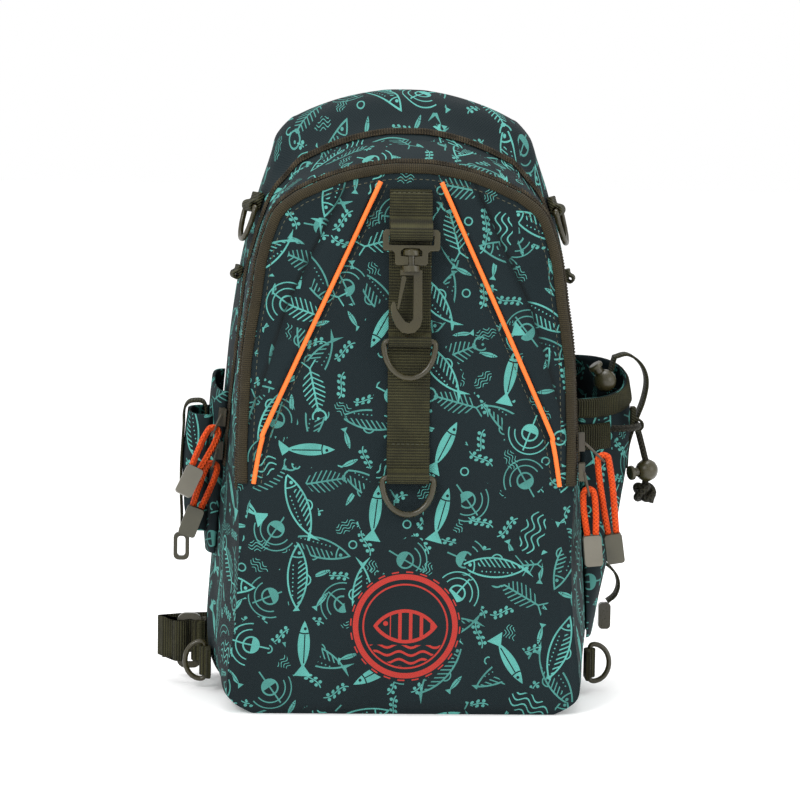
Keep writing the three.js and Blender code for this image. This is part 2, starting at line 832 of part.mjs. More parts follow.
function hookSolid() {
  const reach = hookTop - hookBottom;
  const spots = hookOutline.map(({ across, down }) => (
    new THREE.Vector2(across * hookWidth, hookTop - down * reach)));
  const body = plate(new THREE.Shape(spots), hookPlate);
  const root = new THREE.BoxGeometry(0.7 * hookWidth, hookPlate, rootDepth + 1)
    .translate(0, 0, hookTop + 0.5 - rootDepth / 2);
  const headTop = windowTop - clearance;
  const headBottom = windowBottom + clearance;
  const post = turned([
    [0, hookTop], [barrelRadius, hookTop], [barrelRadius, collarTop], [stemRadius, collarTop],
    [stemRadius, headBottom], [barrelRadius * 0.9, headBottom], [barrelRadius * 0.9, headTop - 1],
    [barrelRadius * 0.7, headTop], [0, headTop],
  ], 16);
  return joined(post, root, body);
}

function gateSolid() {
  const top = hookTop - rootDepth - clearance - knuckleRadius;
  const tip = hookTop - (hookTop - hookBottom) * 0.6;
  const tipAcross = -0.42 * hookWidth;
  const shape = new THREE.Shape();
  shape.absarc(gateAcross, top, knuckleRadius, 0, Math.PI);
  shape.lineTo(tipAcross - 0.5, tip);
  shape.lineTo(tipAcross + 0.6, tip - 0.4);
  return { solid: plate(shape, hookPlate - 0.8), pivot: new THREE.Vector3(gateAcross, 0, top) };
}

const swivelPlace = (geometry) => tiltAlongFront(geometry, swivelBarHeight, swivelStandOff);
addMesh('swivel_loop', swivelPlace(swivelLoopSolid()), plastic);
const swivelTilt = surfaceTilt(swivelBarHeight);
const swivelAxis = new THREE.Vector3(0, Math.sin(swivelTilt), Math.cos(swivelTilt));
const swivelOrigin = new THREE.Vector3(
  0, stripFace(swivelBarHeight) - swivelStandOff, swivelBarHeight);
hingeOf(addMesh('snap_hook', swivelPlace(hookSolid()), plastic), swivelOrigin, swivelAxis);
const gate = gateSolid();
const gatePivot = gate.pivot.clone()
  .applyAxisAngle(new THREE.Vector3(1, 0, 0), -swivelTilt).add(swivelOrigin);
hingeOf(addMesh('hook_gate', swivelPlace(gate.solid), plastic), gatePivot,
  new THREE.Vector3(0, -Math.cos(swivelTilt), Math.sin(swivelTilt)));

// Folds and rings on the sides of the bag

// Sets a geometry with its bar at the origin: +Y goes into the seat, +Z goes along `up`.
function placed(geometry, point, outwardWay, up) {
  const into = outwardWay.clone().negate().normalize();
  const along = up.clone().addScaledVector(into, -up.dot(into)).normalize();
  const across = new THREE.Vector3().crossVectors(into, along);
  const basis = new THREE.Matrix4().makeBasis(across, into, along).setPosition(point);
  return { geometry: geometry.applyMatrix4(basis), across, into, along };
}

// Normal of a side face, found from three seats.
function sideNormal(mesh, side, y, z, step = 6) {
  const middle = onSide(mesh, side, y, z);
  const back = onSide(mesh, side, y + step, z).sub(onSide(mesh, side, y - step, z));
  const top = onSide(mesh, side, y, z + step).sub(onSide(mesh, side, y, z - step));
  const normal = new THREE.Vector3().crossVectors(back, top).multiplyScalar(side).normalize();
  return { middle, normal };
}

const widestRow = outlineRows[2].height;
const shoulderTabDepth = crestDepth * 0.53;
const shoulderTabHeight = 0.802 * bagHeight;
const sideTabHeight = 0.69 * bagHeight;
const cornerTabHeight = 17.5;
const cornerTabWidth = 18;
const cornerRingDepth = 10;
const shoulderRingWidth = tabWidth + 2 * smallRingWire + 1.4;
const upward = new THREE.Vector3(0, 0, 1);

for (const [side, word] of [[-1, 'left'], [1, 'right']]) {
  const standOff = barStandOff(smallRingWire);
  const lift = standOff - clearance;
  const shoulder = sideNormal(mainShell, side, shoulderTabDepth, shoulderTabHeight);
  const bar = shoulder.middle.clone().addScaledVector(shoulder.normal, standOff + clearance);
  const tab = webbingFold(tabWidth, smallRingWire, lift, 9);
  addMesh(`shoulder_tab_${word}`, placed(tab, bar, shoulder.normal, upward).geometry, olive);
  const ring = placed(dRing(shoulderRingWidth, shoulderRingDrop, smallRingWire),
    bar, shoulder.normal, upward);
  const ringMesh = addMesh(`shoulder_ring_${word}`, ring.geometry, plastic);
  hingeOf(ringMesh, bar, ring.across.clone().negate());

  const tabWire = 2;
  const flank = sideNormal(mainShell, side, crestDepth * 0.6, sideTabHeight);
  const edge = flank.middle.clone()
    .addScaledVector(flank.normal, barStandOff(tabWire) + clearance);
  const sideTab = webbingFold(tabWidth * 0.8, tabWire, barStandOff(tabWire) - clearance, 6);
  addMesh(`side_tab_${word}`, placed(sideTab, edge, flank.normal, upward).geometry, olive);

  const corner = onSide(
    mainShell, side, cornerRingDepth + 4, cornerTabHeight + cornerTabWidth / 2 + 1);
  const sideways = new THREE.Vector3(side, 0, 0);
  const cornerBar = new THREE.Vector3(
    corner.x + side * (standOff - clearance), cornerRingDepth, cornerTabHeight);
  const frontward = new THREE.Vector3(0, -1, 0);
  const lowTab = webbingFold(cornerTabWidth, smallRingWire, lift, cornerRingDepth + 4);
  addMesh(`lower_tab_${word}`, placed(lowTab, cornerBar, sideways, frontward).geometry, olive);
  const lowRing = placed(dRing(cornerRingWidth, cornerRingDrop, smallRingWire),
    cornerBar, frontward, sideways.clone().negate());
  hingeOf(addMesh(`lower_ring_${word}`, lowRing.geometry, plastic), cornerBar, upward);
}

// Side pockets

// A soft pocket with a C-shaped section sewn to the face of `on`. rows give its height as a
// share from its bottom to its mouth, and how far it stands out as a share of `out`.
function sidePocket({ on, side, front, back, bottom, topFront, topBack, out, power, rows, steps }) {
  const outerAt = (row, t) => {
    const y = lerp(front, back, t);
    const z = lerp(bottom, lerp(topFront, topBack, t), row.height);
    const bulge = out * row.out * (1 - Math.abs(2 * t - 1) ** power) ** (1 / power);
    return { y, z, bulge };
  };
  const onSeat = (y, z, bulge) => {
    const x = onSide(on, side, y, z).x + side * (pocketClearance + bulge);
    return new THREE.Vector3(x, y, z);
  };
  const shares = Array.from({ length: steps + 1 }, (_, k) => (
    (1 - Math.cos((Math.PI * k) / steps)) / 2));
  const outer = rows.map((row) => shares.map((t) => {
    const { y, z, bulge } = outerAt(row, t);
    return onSeat(y, z, bulge);
  }));
  const inner = rows.map((row) => shares.map((t) => {
    const { z, bulge } = outerAt(row, t);
    const y = lerp(front + pocketWall, back - pocketWall, t);
    const solid = row === rows[0];
    return onSeat(y, z, solid ? 0 : Math.max(0, bulge - pocketWall));
  }));
  const loops = rows.map((_, k) => [...outer[k], ...[...inner[k]].reverse()]);
  return { geometry: loft(loops), outer };
}

// A band on a pocket's outside, between two heights of one of its rows.
function pocketBand(outer, row, from, to, first, last, thickness) {
  const rows = [];
  for (let k = first; k <= last; k++) {
    const low = mixPoints(outer[row][k], outer[row + 1][k], from);
    const high = mixPoints(outer[row][k], outer[row + 1][k], to);
    const before = outer[row][Math.max(0, k - 1)];
    const after = outer[row][Math.min(outer[row].length - 1, k + 1)];
    const along = new THREE.Vector3().subVectors(after, before).setZ(0);
    const way = new THREE.Vector3(along.y, -along.x, 0).normalize();
    if (way.x * low.x < 0) way.negate();
    rows.push([
      low.clone().addScaledVector(way, clearance),
      low.clone().addScaledVector(way, clearance + thickness),
      high.clone().addScaledVector(way, clearance + thickness),
      high.clone().addScaledVector(way, clearance),
    ]);
  }
  return loft(rows);
}

const pocketFront = zipWidth / 2 + 1.8;
const bottleSteps = 12;
const bottle = sidePocket({
  on: mainShell, side: 1, front: pocketFront, back: rearDepth - 2, bottom: 34,
  topFront: 180, topBack: 203, out: bottleOut, power: 2.5, steps: bottleSteps,
  rows: [
    { height: 0, out: 0.07 }, { height: 0.1, out: 0.14 }, { height: 0.3, out: 0.46 },
    { height: 0.54, out: 0.76 }, { height: 0.78, out: 0.94 }, { height: 0.9, out: 1 },
    { height: 1, out: 0.94 },
  ],
});
const bottleMesh = addMesh('bottle_pocket', bottle.geometry, cloth);
addMesh('pocket_rim', pocketBand(bottle.outer, 5, 0.2, 1, 0, bottleSteps, rimThickness), olive);
addMesh('pocket_patch', pocketBand(bottle.outer, 4, 0.06, 0.96, 0, 2, rimThickness), olive);

const sleeve = sidePocket({
  on: mainShell, side: -1, front: pocketFront, back: rearDepth - 2, bottom: 84,
  topFront: 182, topBack: 192, out: sleeveOut, power: 4, steps: 10,
  rows: [
    { height: 0, out: 0.4 }, { height: 0.1, out: 0.75 }, { height: 0.6, out: 1 },
    { height: 0.9, out: 1 }, { height: 1, out: 0.92 },
  ],
});
const sleeveMesh = addMesh('tool_sleeve', sleeve.geometry, cloth);

const pouchBack = 42;
const pouchFront = 8;
const pouchMiddle = (pouchFront + pouchBack) / 2;
const pouch = sidePocket({
  on: sleeveMesh, side: -1, front: pouchFront, back: pouchBack, bottom: 97,
  topFront: 167.5, topBack: 170, out: pouchOut, power: 4, steps: 10,
  rows: [
    { height: 0, out: 0.6 }, { height: 0.14, out: 0.92 }, { height: 0.5, out: 1 },
    { height: 0.86, out: 1 }, { height: 1, out: 0.94 },
  ],
});
const pouchMesh = addMesh('tool_pouch', pouch.geometry, cloth);

// Webbing over the pouch, with a small clip at its end
const pouchTop = 170;
const strapBottom = 94;
const sleeveFace = onSide(sleeveMesh, -1, pouchMiddle, pouchTop + 2).x - seatClearance;
const pouchFace = (z) => onSide(pouchMesh, -1, pouchMiddle, z).x - seatClearance;
const pouchStrapLine = [
  new THREE.Vector2(sleeveFace - webbingThickness - 0.9, pouchTop - 8),
  new THREE.Vector2(sleeveFace - webbingThickness - 1, pouchTop + 0.5),
  new THREE.Vector2(sleeveFace - 4, pouchTop + 3.2),
  new THREE.Vector2((sleeveFace + pouchFace(165)) / 2, pouchTop + 3.8),
  new THREE.Vector2(pouchFace(165) + 1.5, pouchTop + 2.8),
  new THREE.Vector2(pouchFace(165) - 0.6, pouchTop - 1),
  ...[160, 150, 135, 118, 106].map((z) => new THREE.Vector2(pouchFace(z) - 0.2, z)),
  new THREE.Vector2(pouchFace(106) - 0.2, strapBottom),
];
addMesh('pouch_strap',
  ribbonAcrossY(pouchStrapLine, -webbingThickness, tabWidth * 0.8, pouchMiddle), olive);

function ringPlate(width, height, wall, thickness) {
  const shape = roundedBox(width, height, Math.min(width, height) * 0.35);
  const hole = roundedBox(width - 2 * wall, height - 2 * wall, Math.min(width, height) * 0.2);
  shape.holes.push(new THREE.Path(hole.getPoints(3)));
  return plate(shape, thickness);
}
const clipHeight = 17;
addMesh('pouch_clip', ringPlate(9.6, clipHeight, 2.4, 3.5).translate(
  pouchFace(106) - 1, pouchMiddle, strapBottom - clearance - clipHeight / 2), plastic);

// Webbing over the bottle pocket's mouth
const bottleMiddle = 28.5;
const bottleFace = (z) => onSide(bottleMesh, 1, bottleMiddle - 0.4 * tabWidth, z).x + seatClearance;
const rimFace = bottleFace(182) + rimThickness + clearance;
const pocketStrapLine = [
  new THREE.Vector2(bottleFace(140), 136),
  new THREE.Vector2(bottleFace(150), 150),
  new THREE.Vector2(rimFace + 3, 164),
  new THREE.Vector2(rimFace + 8, 178),
  new THREE.Vector2(rimFace + 9.5, 190),
  new THREE.Vector2(rimFace + 6, 199),
  new THREE.Vector2(rimFace - 2, 204.5),
  new THREE.Vector2(rimFace - 9, 203),
  new THREE.Vector2(rimFace - 11, 195),
];
addMesh('pocket_strap',
  ribbonAcrossY(pocketStrapLine, -webbingThickness, tabWidth * 0.8, bottleMiddle), olive);

// Elastic cord with its webbing loop, cord lock and knot
const lockTabHeight = 164;
const lockTabDepth = 10;
const lockTabWidth = 8;
const lockEye = cordDiameter + 0.6;
const lockTabSeat = onSide(bottleMesh, 1, lockTabDepth + lockTabWidth / 2, lockTabHeight + 8);
const lockTabPoint = new THREE.Vector3(
  lockTabSeat.x + barStandOff(lockEye) + rimThickness + 1.4, lockTabDepth, lockTabHeight);
const lockTab = webbingFold(lockTabWidth, lockEye, barStandOff(lockEye) - clearance, 11);
addMesh('lock_tab',
  placed(lockTab, lockTabPoint, new THREE.Vector3(1, 0, 0), upward).geometry, olive);

const lockHang = 29;
const lockPlace = new THREE.Vector3(
  lockTabPoint.x + 8, lockTabDepth + 10, lockTabHeight - lockHang);
// The cord's route: from the patch, through the webbing loop and down to the lock.
const lockRoute = [
  [125.5, -6.2, 163.4], [128.5, -6.9, 163.4], [132, -7, 163.5], [136, -6, 163.7],
  [139.8, -3.5, 163.9], [142.2, 0.5, 164], [142.8, 5, 164], [142.8, 10, 164],
  [142.8, 14.5, 164], [143.4, 17.2, 162.4], [144.8, 17.9, 158.8], [146.2, 17.9, 154],
  [147.6, 18, 149], [148.6, 18.2, 144.6],
];
addMesh('lock_cord', cordTube(lockRoute, cordDiameter, 16), olive);

function lockBody(radius, bore) {
  const profile = [];
  const from = -Math.PI / 2;
  const to = Math.acos(bore / radius);
  const steps = 7;
  for (let k = 0; k <= steps; k++) {
    const angle = lerp(from, to, k / steps);
    profile.push([Math.max(0, radius * Math.cos(angle)), radius * Math.sin(angle)]);
  }
  profile[0][0] = 0;
  profile.push([bore, -radius * 0.35], [0, -radius * 0.35]);
  return turned(profile, 12);
}

function lockButtonBody(radius, bore) {
  const lip = Math.sqrt(radius ** 2 - bore ** 2);
  const under = lip + buttonTravel + clearance;
  const stem = bore - 2 * clearance;
  return turned([
    [0, -radius * 0.35 + buttonTravel + clearance], [stem, -radius * 0.35 + buttonTravel + clearance],
    [stem, under], [buttonRadius, under], [buttonRadius, under + 2.2],
    [buttonRadius * 0.8, under + 2.8], [0, under + 2.8],
  ], 12);
}

function cordLock(names, point, way) {
  const turn = new THREE.Quaternion().setFromUnitVectors(upward, way.clone().normalize());
  const pose = new THREE.Matrix4().makeRotationFromQuaternion(turn).setPosition(point);
  addMesh(names[0], lockBody(lockRadius, lockBore).applyMatrix4(pose), plastic);
  const button = addMesh(names[1], lockButtonBody(lockRadius, lockBore).applyMatrix4(pose), plastic);
  hingeOf(button, point, way.clone().normalize().negate());
}
cordLock(['cord_lock', 'lock_button'], lockPlace, new THREE.Vector3(-0.92, -0.35, -0.12));
addMesh('cord_knot', new THREE.SphereGeometry(6.2, 12, 8).scale(1.1, 0.9, 1)
  .translate(lockPlace.x - 1.5, lockPlace.y, lockPlace.z - lockRadius - 6.2 - clearance), olive);
cordLock(['inner_lock', 'inner_button'], new THREE.Vector3(bagHalfWidth + 7.5, 17, 190),
  new THREE.Vector3(-0.57, -0.12, 0.82));

// Zip sliders, pull cords and pull ends. aboveEnd is the slider's height above the zip's lower
// end. ring and end place the ring's end and the pull end's middle: beside is measured outwards
// from the half width of the bag or the panel, below from the slider.
const pulls = [
  { side: -1, on: 'back', aboveEnd: 25.88, ring: { beside: -2.5, depth: -9, below: 8.5 },
    end: { beside: 11.3, depth: -16, below: 36.7 } },
  { side: -1, on: 'back', aboveEnd: 5.88, ring: { beside: -2, depth: -4, below: 10.5 },
    end: { beside: 10, depth: -3, below: 42.5 } },
  { side: 1, on: 'front', aboveEnd: 25.18, ring: { beside: 12, depth: -46, below: 11 },
    end: { beside: 20.5, depth: -39, below: 64 } },
  { side: 1, on: 'front', aboveEnd: 7.68, ring: { beside: 3.5, depth: -49, below: 13.5 },
    end: { beside: 6.5, depth: -51, below: 46.5 } },
];
const zipEndShare = outlineRows[zipEndRow].height;
const frontZip = bag.getObjectByName('front_zip');

pulls.forEach((pull, number) => {
  const inFront = pull.on === 'front';
  const zip = inFront ? frontZip : backZip;
  const height = zipEndShare * (inFront ? panelHeight : zipHeight) + pull.aboveEnd;
  const halfWidth = inFront ? panelHalfWidth : bagHalfWidth;
  const { middle, normal } = sideNormal(
    zip, pull.side, inFront ? panelDepth(height) + 4.2 : 0, height, 1.2);
  const place = ({ beside, depth, below }) => new THREE.Vector3(
    pull.side * (halfWidth + beside), depth, height - below);
  const ringEnd = place(pull.ring);
  const endMiddle = place(pull.end);
  const word = `${number + 1}`;
  const body = new THREE.BoxGeometry(7.5, 3.6, 10.5).translate(0, -2.1 - clearance, 0);
  const slider = placed(body, middle, normal, upward).geometry;
  const hold = middle.clone().addScaledVector(normal, 3.4);
  addMesh(`zip_slider_${word}`, joined(slider, pullRing(hold, ringEnd)), bronze);

  const way = new THREE.Vector3().subVectors(ringEnd, endMiddle).normalize();
  const deep = new THREE.Vector3(0, 1, 0).addScaledVector(way, -way.y).normalize();
  const across = new THREE.Vector3().crossVectors(deep, way).normalize();
  const block = plate(roundedBox(pullEndWidth, pullEndLength, 1.8), pullEndThickness);
  const basis = new THREE.Matrix4().makeBasis(across, deep, way).setPosition(endMiddle);
  addMesh(`pull_end_${word}`, block.applyMatrix4(basis), pullGrey);
  const blockTop = endMiddle.clone().addScaledVector(way, pullEndLength / 2 + clearance);
  addMesh(`pull_cord_${word}`,
    cordTube(pullCordRoute(blockTop, ringEnd, way, across), pullCordDiameter, 15), orange);
});

// A wire ring from a slider to the place where the cord passes through it.
function pullRing(from, to) {
  const wire = 1.6;
  const half = 4.2;
  const way = new THREE.Vector3().subVectors(to, from);
  const long = way.length();
  way.normalize();
  const deep = new THREE.Vector3(0, 1, 0).addScaledVector(way, -way.y).normalize();
  const normal = new THREE.Vector3().crossVectors(way, deep).normalize();
  const at = (along, across) => from.clone().addScaledVector(way, along).addScaledVector(deep, across);
  const bend = 1.6;
  const path = [
    at(0, -half + bend), at(bend * 0.3, -half + bend * 0.3), at(bend, -half),
    at(long - bend, -half), at(long - bend * 0.3, -half + bend * 0.3), at(long, -half + bend),
    at(long, half - bend), at(long - bend * 0.3, half - bend * 0.3), at(long - bend, half),
    at(bend, half), at(bend * 0.3, half - bend * 0.3), at(0, half - bend),
  ];
  return wireLoop(path, wire, normal, 5);
}

// A doubled cord: up from the pull end, round the ring's wire and back.
function pullCordRoute(blockTop, ringEnd, way, across) {
  const bend = 0.8 + pullCordDiameter / 2 + 0.5;
  const spot = (middle, off) => middle.clone().addScaledVector(across, off);
  const length = blockTop.distanceTo(ringEnd);
  const side = [0, 0.25, 0.5, 0.75].map((share) => ({
    middle: blockTop.clone().addScaledVector(way, share * length),
    off: lerp(2.5, bend + 0.4, Math.sin(Math.PI * share * 0.6)),
  }));
  const rising = side.map(({ middle, off }) => spot(middle, -off));
  const falling = side.map(({ middle, off }) => spot(middle, off)).reverse();
  const turn = [0, 0.25, 0.5, 0.75, 1].map((share) => {
    const angle = Math.PI * share;
    return ringEnd.clone()
      .addScaledVector(across, -bend * Math.cos(angle))
      .addScaledVector(way, bend * Math.sin(angle));
  });
  return [...rising, ...turn, ...falling].map((p) => p.toArray());
}

// Sling strap behind the bag
const backFace = backFront + backPanelThickness + seatClearance;
const strapTop = 0.93 * bagHeight;
const strapEnd = new THREE.Vector2(-64, 62);

function slingStrapSolid() {
  const middleLine = new THREE.CatmullRomCurve3([
    new THREE.Vector3(0, 0, strapTop), new THREE.Vector3(2, 0, strapTop * 0.75),
    new THREE.Vector3(-8, 0, strapTop * 0.5), new THREE.Vector3(-36, 0, strapTop * 0.28),
    new THREE.Vector3(strapEnd.x, 0, strapEnd.y),
  ]);
  const steps = 12;
  const sides = [];
  for (let k = 0; k <= steps; k++) {
    const share = k / steps;
    const point = middleLine.getPointAt(share);
    const along = middleLine.getTangentAt(share);
    const taper = share > 0.6 ? lerp(1, 0.45, (share - 0.6) / 0.4) : lerp(0.7, 1, share / 0.6);
    sides.push({ point, out: new THREE.Vector3(along.z, 0, -along.x), half: (strapWidth / 2) * taper });
  }
  const outline = [
    ...sides.map(({ point, out, half }) => point.clone().addScaledVector(out, half)),
    ...sides.map(({ point, out, half }) => point.clone().addScaledVector(out, -half)).reverse(),
  ];
  const shape = new THREE.Shape(outline.map((p) => new THREE.Vector2(p.x, p.z)));
  return plate(shape, strapThickness, 2).translate(0, backFace + strapThickness / 2, 0);
}
addMesh('shoulder_strap', slingStrapSolid(), olive);

// Lower webbing of the sling strap, its ladder lock and the tab that holds it
const lockDepth = 30;
const lockFrame = { wide: 15, tall: 34, bar: 3.6, thick: 3.6 };
const strapMiddle = 26;
const frameEye = Math.hypot(lockFrame.bar, lockFrame.thick) + 0.9;
const strapSeat = onSide(mainShell, -1, lockDepth, widestRow * bagHeight);
const innerBar = strapSeat.x - barStandOff(frameEye) - clearance;
const frameMiddle = innerBar - (lockFrame.wide - lockFrame.bar) / 2;
const outerBar = innerBar - (lockFrame.wide - lockFrame.bar);
addMesh('strap_lock', ringPlate(lockFrame.wide, lockFrame.tall, lockFrame.bar, lockFrame.thick)
  .translate(frameMiddle, lockDepth, strapMiddle), plastic);
const rearward = new THREE.Vector3(0, 1, 0);
const strapTab = webbingFold(strapWebbingWidth, frameEye, barStandOff(frameEye) - clearance, 14);
addMesh('strap_tab', placed(strapTab, new THREE.Vector3(innerBar, lockDepth, strapMiddle),
  leftward, rearward).geometry, olive);

function strapWebbingSolid() {
  const away = new THREE.Vector2(-0.86, 0.5).normalize();
  const face = new THREE.Vector2(0.5, 0.86).normalize();
  const lift = barStandOff(frameEye) - clearance;
  const stitched = 14;
  const onFold = (share) => new THREE.Vector2(outerBar, lockDepth)
    .addScaledVector(away, share * stitched)
    .addScaledVector(face, lift - 0.4);
  const line = [
    ...[[44, backFace + 3], [16, backFace + 2.8], [-8, backFace], [-24, backFace - 6.5],
      [-31, 47.5]].map(([inward, y]) => new THREE.Vector2(inward - bagHalfWidth, y)),
    onFold(0.95), onFold(0.4),
  ];
  const ribbon = new THREE.ExtrudeGeometry(ribbonShape(line, webbingThickness), {
    depth: strapWebbingWidth, bevelEnabled: false,
  }).translate(0, 0, strapMiddle - strapWebbingWidth / 2);
  const fold = webbingFold(strapWebbingWidth, frameEye, lift, stitched);
  const end = placed(fold, new THREE.Vector3(outerBar, lockDepth, strapMiddle),
    new THREE.Vector3(-face.x, -face.y, 0), new THREE.Vector3(away.x, away.y, 0)).geometry;
  return joined(ribbon, end);
}
addMesh('strap_webbing', strapWebbingSolid(), olive);

// Webbing curl with a plastic tongue behind the bottle pocket
const curlDepth = backFront + 6;
const curlSeat = seat(bag.getObjectByName('back_panel'),
  new THREE.Vector3(2 * bagHalfWidth, curlDepth - 4, 76), leftward).x + seatClearance;
const curlLine = [
  [curlSeat - bagHalfWidth, 76], [8, 75.5], [16, 72], [22, 66], [24, 59], [22, 52], [17, 47.5],
].map(([outward, z]) => new THREE.Vector2(bagHalfWidth + outward, z));
addMesh('hook_webbing', ribbonAcrossY(curlLine, -webbingThickness, 12, curlDepth), olive);
addMesh('hook_tongue', plate(roundedBox(7.5, 16.5, 2.5), 5).translate(131, curlDepth, 38.9), plastic);

export default bag;
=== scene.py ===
import bmesh
import bpy
import math
import numpy as np
from functools import partialmethod
from mathutils import Matrix, Vector, noise
from mathutils.bvhtree import BVHTree


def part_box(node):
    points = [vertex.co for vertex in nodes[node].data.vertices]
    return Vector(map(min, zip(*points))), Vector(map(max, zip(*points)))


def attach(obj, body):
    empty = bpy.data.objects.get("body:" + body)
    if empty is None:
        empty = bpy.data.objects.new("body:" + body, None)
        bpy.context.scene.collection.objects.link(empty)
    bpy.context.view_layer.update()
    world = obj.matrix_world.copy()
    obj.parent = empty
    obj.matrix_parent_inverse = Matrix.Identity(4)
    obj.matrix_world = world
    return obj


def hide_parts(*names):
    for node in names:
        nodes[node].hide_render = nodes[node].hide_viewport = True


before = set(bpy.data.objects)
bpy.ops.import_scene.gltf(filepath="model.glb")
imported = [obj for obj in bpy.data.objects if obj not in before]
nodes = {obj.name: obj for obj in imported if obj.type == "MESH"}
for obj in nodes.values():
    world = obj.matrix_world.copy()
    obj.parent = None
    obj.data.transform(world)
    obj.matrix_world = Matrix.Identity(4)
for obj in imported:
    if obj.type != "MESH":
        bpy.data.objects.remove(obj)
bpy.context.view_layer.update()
scene = bpy.context.scene

# The bag's main sizes, as in the frame
panel_half = 0.104
panel_height = 0.321
panel_low_depth = 0.062
panel_high_depth = 0.042
gusset_end = -0.0083
shell_front = -0.008
shell_rear = 0.048

# Width over which the front panel rises from its rim, height of the straight base, and the
# height that cloth keeps above the floor
rim_roll = 0.0075
flat_base = 0.004
floor_gap = 0.0002

# The emblem's middle above the base, and the disc round it without print in millimetres
emblem_height = 0.053
emblem_reach = 33

# Where the print starts on gusset, shell and pockets
gusset_print = 0.6
shell_print = 1.9
pocket_print = 2.4

sides = ((-1, "left"), (1, "right"))
forward = Vector((0, -1, 0))
backward = Vector((0, 1, 0))

# Camera
target = Vector((-0.0018, 0.0, 0.1785))
azimuth = math.radians(-3)
elevation = math.radians(6)
roll = math.radians(0.95)
distance = 1.8


def placed(name, data):
    made = bpy.data.objects.new(name, data)
    scene.collection.objects.link(made)
    return made


def set_values(thing, **values):
    for key, value in values.items():
        setattr(thing, key, value)
    return thing


def modifier(made, kind, **values):
    return set_values(made.modifiers.new(kind.lower(), kind), **values)


camera = placed("camera", set_values(bpy.data.cameras.new("camera"), lens=135, sensor_width=36))
camera.location = target + distance * Vector((
    math.sin(azimuth) * math.cos(elevation),
    -math.cos(azimuth) * math.cos(elevation),
    math.sin(elevation)))
aim = (target - camera.location).to_track_quat("-Z", "Y").to_matrix().to_4x4()
aim = aim @ Matrix.Rotation(roll, 4, "Z")
camera.rotation_euler = aim.to_euler()
scene.camera = camera


# Arithmetic on shader sockets
class Value:
    def __init__(self, tree, socket):
        self.tree = tree
        self.socket = socket

    def math(self, operation, other=None, clamp=False):
        node = self.tree.nodes.new("ShaderNodeMath")
        node.operation = operation
        node.use_clamp = clamp
        for index, value in enumerate((self, other)):
            if value is None:
                continue
            if isinstance(value, Value):
                self.tree.links.new(value.socket, node.inputs[index])
            else:
                node.inputs[index].default_value = value
        return Value(self.tree, node.outputs[0])

    __add__ = partialmethod(math, "ADD")
    __sub__ = partialmethod(math, "SUBTRACT")
    __mul__ = partialmethod(math, "MULTIPLY")
    __truediv__ = partialmethod(math, "DIVIDE")
    minimum = partialmethod(math, "MINIMUM")
    maximum = partialmethod(math, "MAXIMUM")
    absolute = partialmethod(math, "ABSOLUTE")
    less = partialmethod(math, "LESS_THAN")
    more = partialmethod(math, "GREATER_THAN")
    sine = partialmethod(math, "SINE")
    cosine = partialmethod(math, "COSINE")
    fraction = partialmethod(math, "FRACT")

    def line(self, half):
        return self.absolute().less(half)


def length(a, b):
    return (a * a + b * b).math("SQRT")


def material(name):
    made = bpy.data.materials.new(name)
    made.use_nodes = True
    tree = made.node_tree
    return made, tree, tree.nodes["Principled BSDF"]


def node(tree, kind, **inputs):
    made = tree.nodes.new("ShaderNode" + kind)
    for key, value in inputs.items():
        made.inputs[key.replace("_", " ")].default_value = value
    return made


def metres(tree):
    uv = node(tree, "UVMap")
    uv.uv_map = "metres"
    split = node(tree, "SeparateXYZ")
    tree.links.new(uv.outputs[0], split.inputs[0])
    return uv.outputs[0], Value(tree, split.outputs[0]), Value(tree, split.outputs[1])


def mix(tree, share, first, second):
    made = node(tree, "Mix")
    made.data_type = "RGBA"
    for value, index in ((share, 0), (first, 6), (second, 7)):
        if isinstance(value, Value):
            tree.links.new(value.socket, made.inputs[index])
        elif hasattr(value, "is_output"):
            tree.links.new(value, made.inputs[index])
        else:
            made.inputs[index].default_value = value
    return made.outputs[2]


def speckle(tree, place, scale, detail):
    pattern = node(tree, "TexNoise", Scale=scale, Detail=detail)
    tree.links.new(place, pattern.inputs["Vector"])
    return Value(tree, pattern.outputs[0])


def mottled(tree, first, second, scale):
    place = node(tree, "TexCoord").outputs["Object"]
    return mix(tree, speckle(tree, place, scale, 5.0), first, second)


def bump(tree, shader, height, strength, depth):
    made = node(tree, "Bump", Strength=strength, Distance=depth)
    tree.links.new(height.socket, made.inputs["Height"])
    tree.links.new(made.outputs[0], shader.inputs["Normal"])


def surface(tree, shader, tone, rough, specular):
    tree.links.new(tone, shader.inputs["Base Color"])
    shader.inputs["Roughness"].default_value = rough
    shader.inputs["Specular IOR Level"].default_value = specular


def rgb(red, green, blue):
    def linear(v):
        v = v / 255
        return v / 12.92 if v <= 0.04045 else ((v + 0.055) / 1.055) ** 2.4
    return (linear(red), linear(green), linear(blue), 1)


# Seams of the front panel: corners as shares of its half width and height
piping_line = [(.17, .968), (.745, .559), (.815, .498), (.858, .42)]
pleat_line = [(.375, .95), (.67, .75), (.77, .645)]

dark_cloth = rgb(17, 32, 36)
deep_cloth = rgb(8, 19, 22)
print_teal = rgb(92, 172, 162)


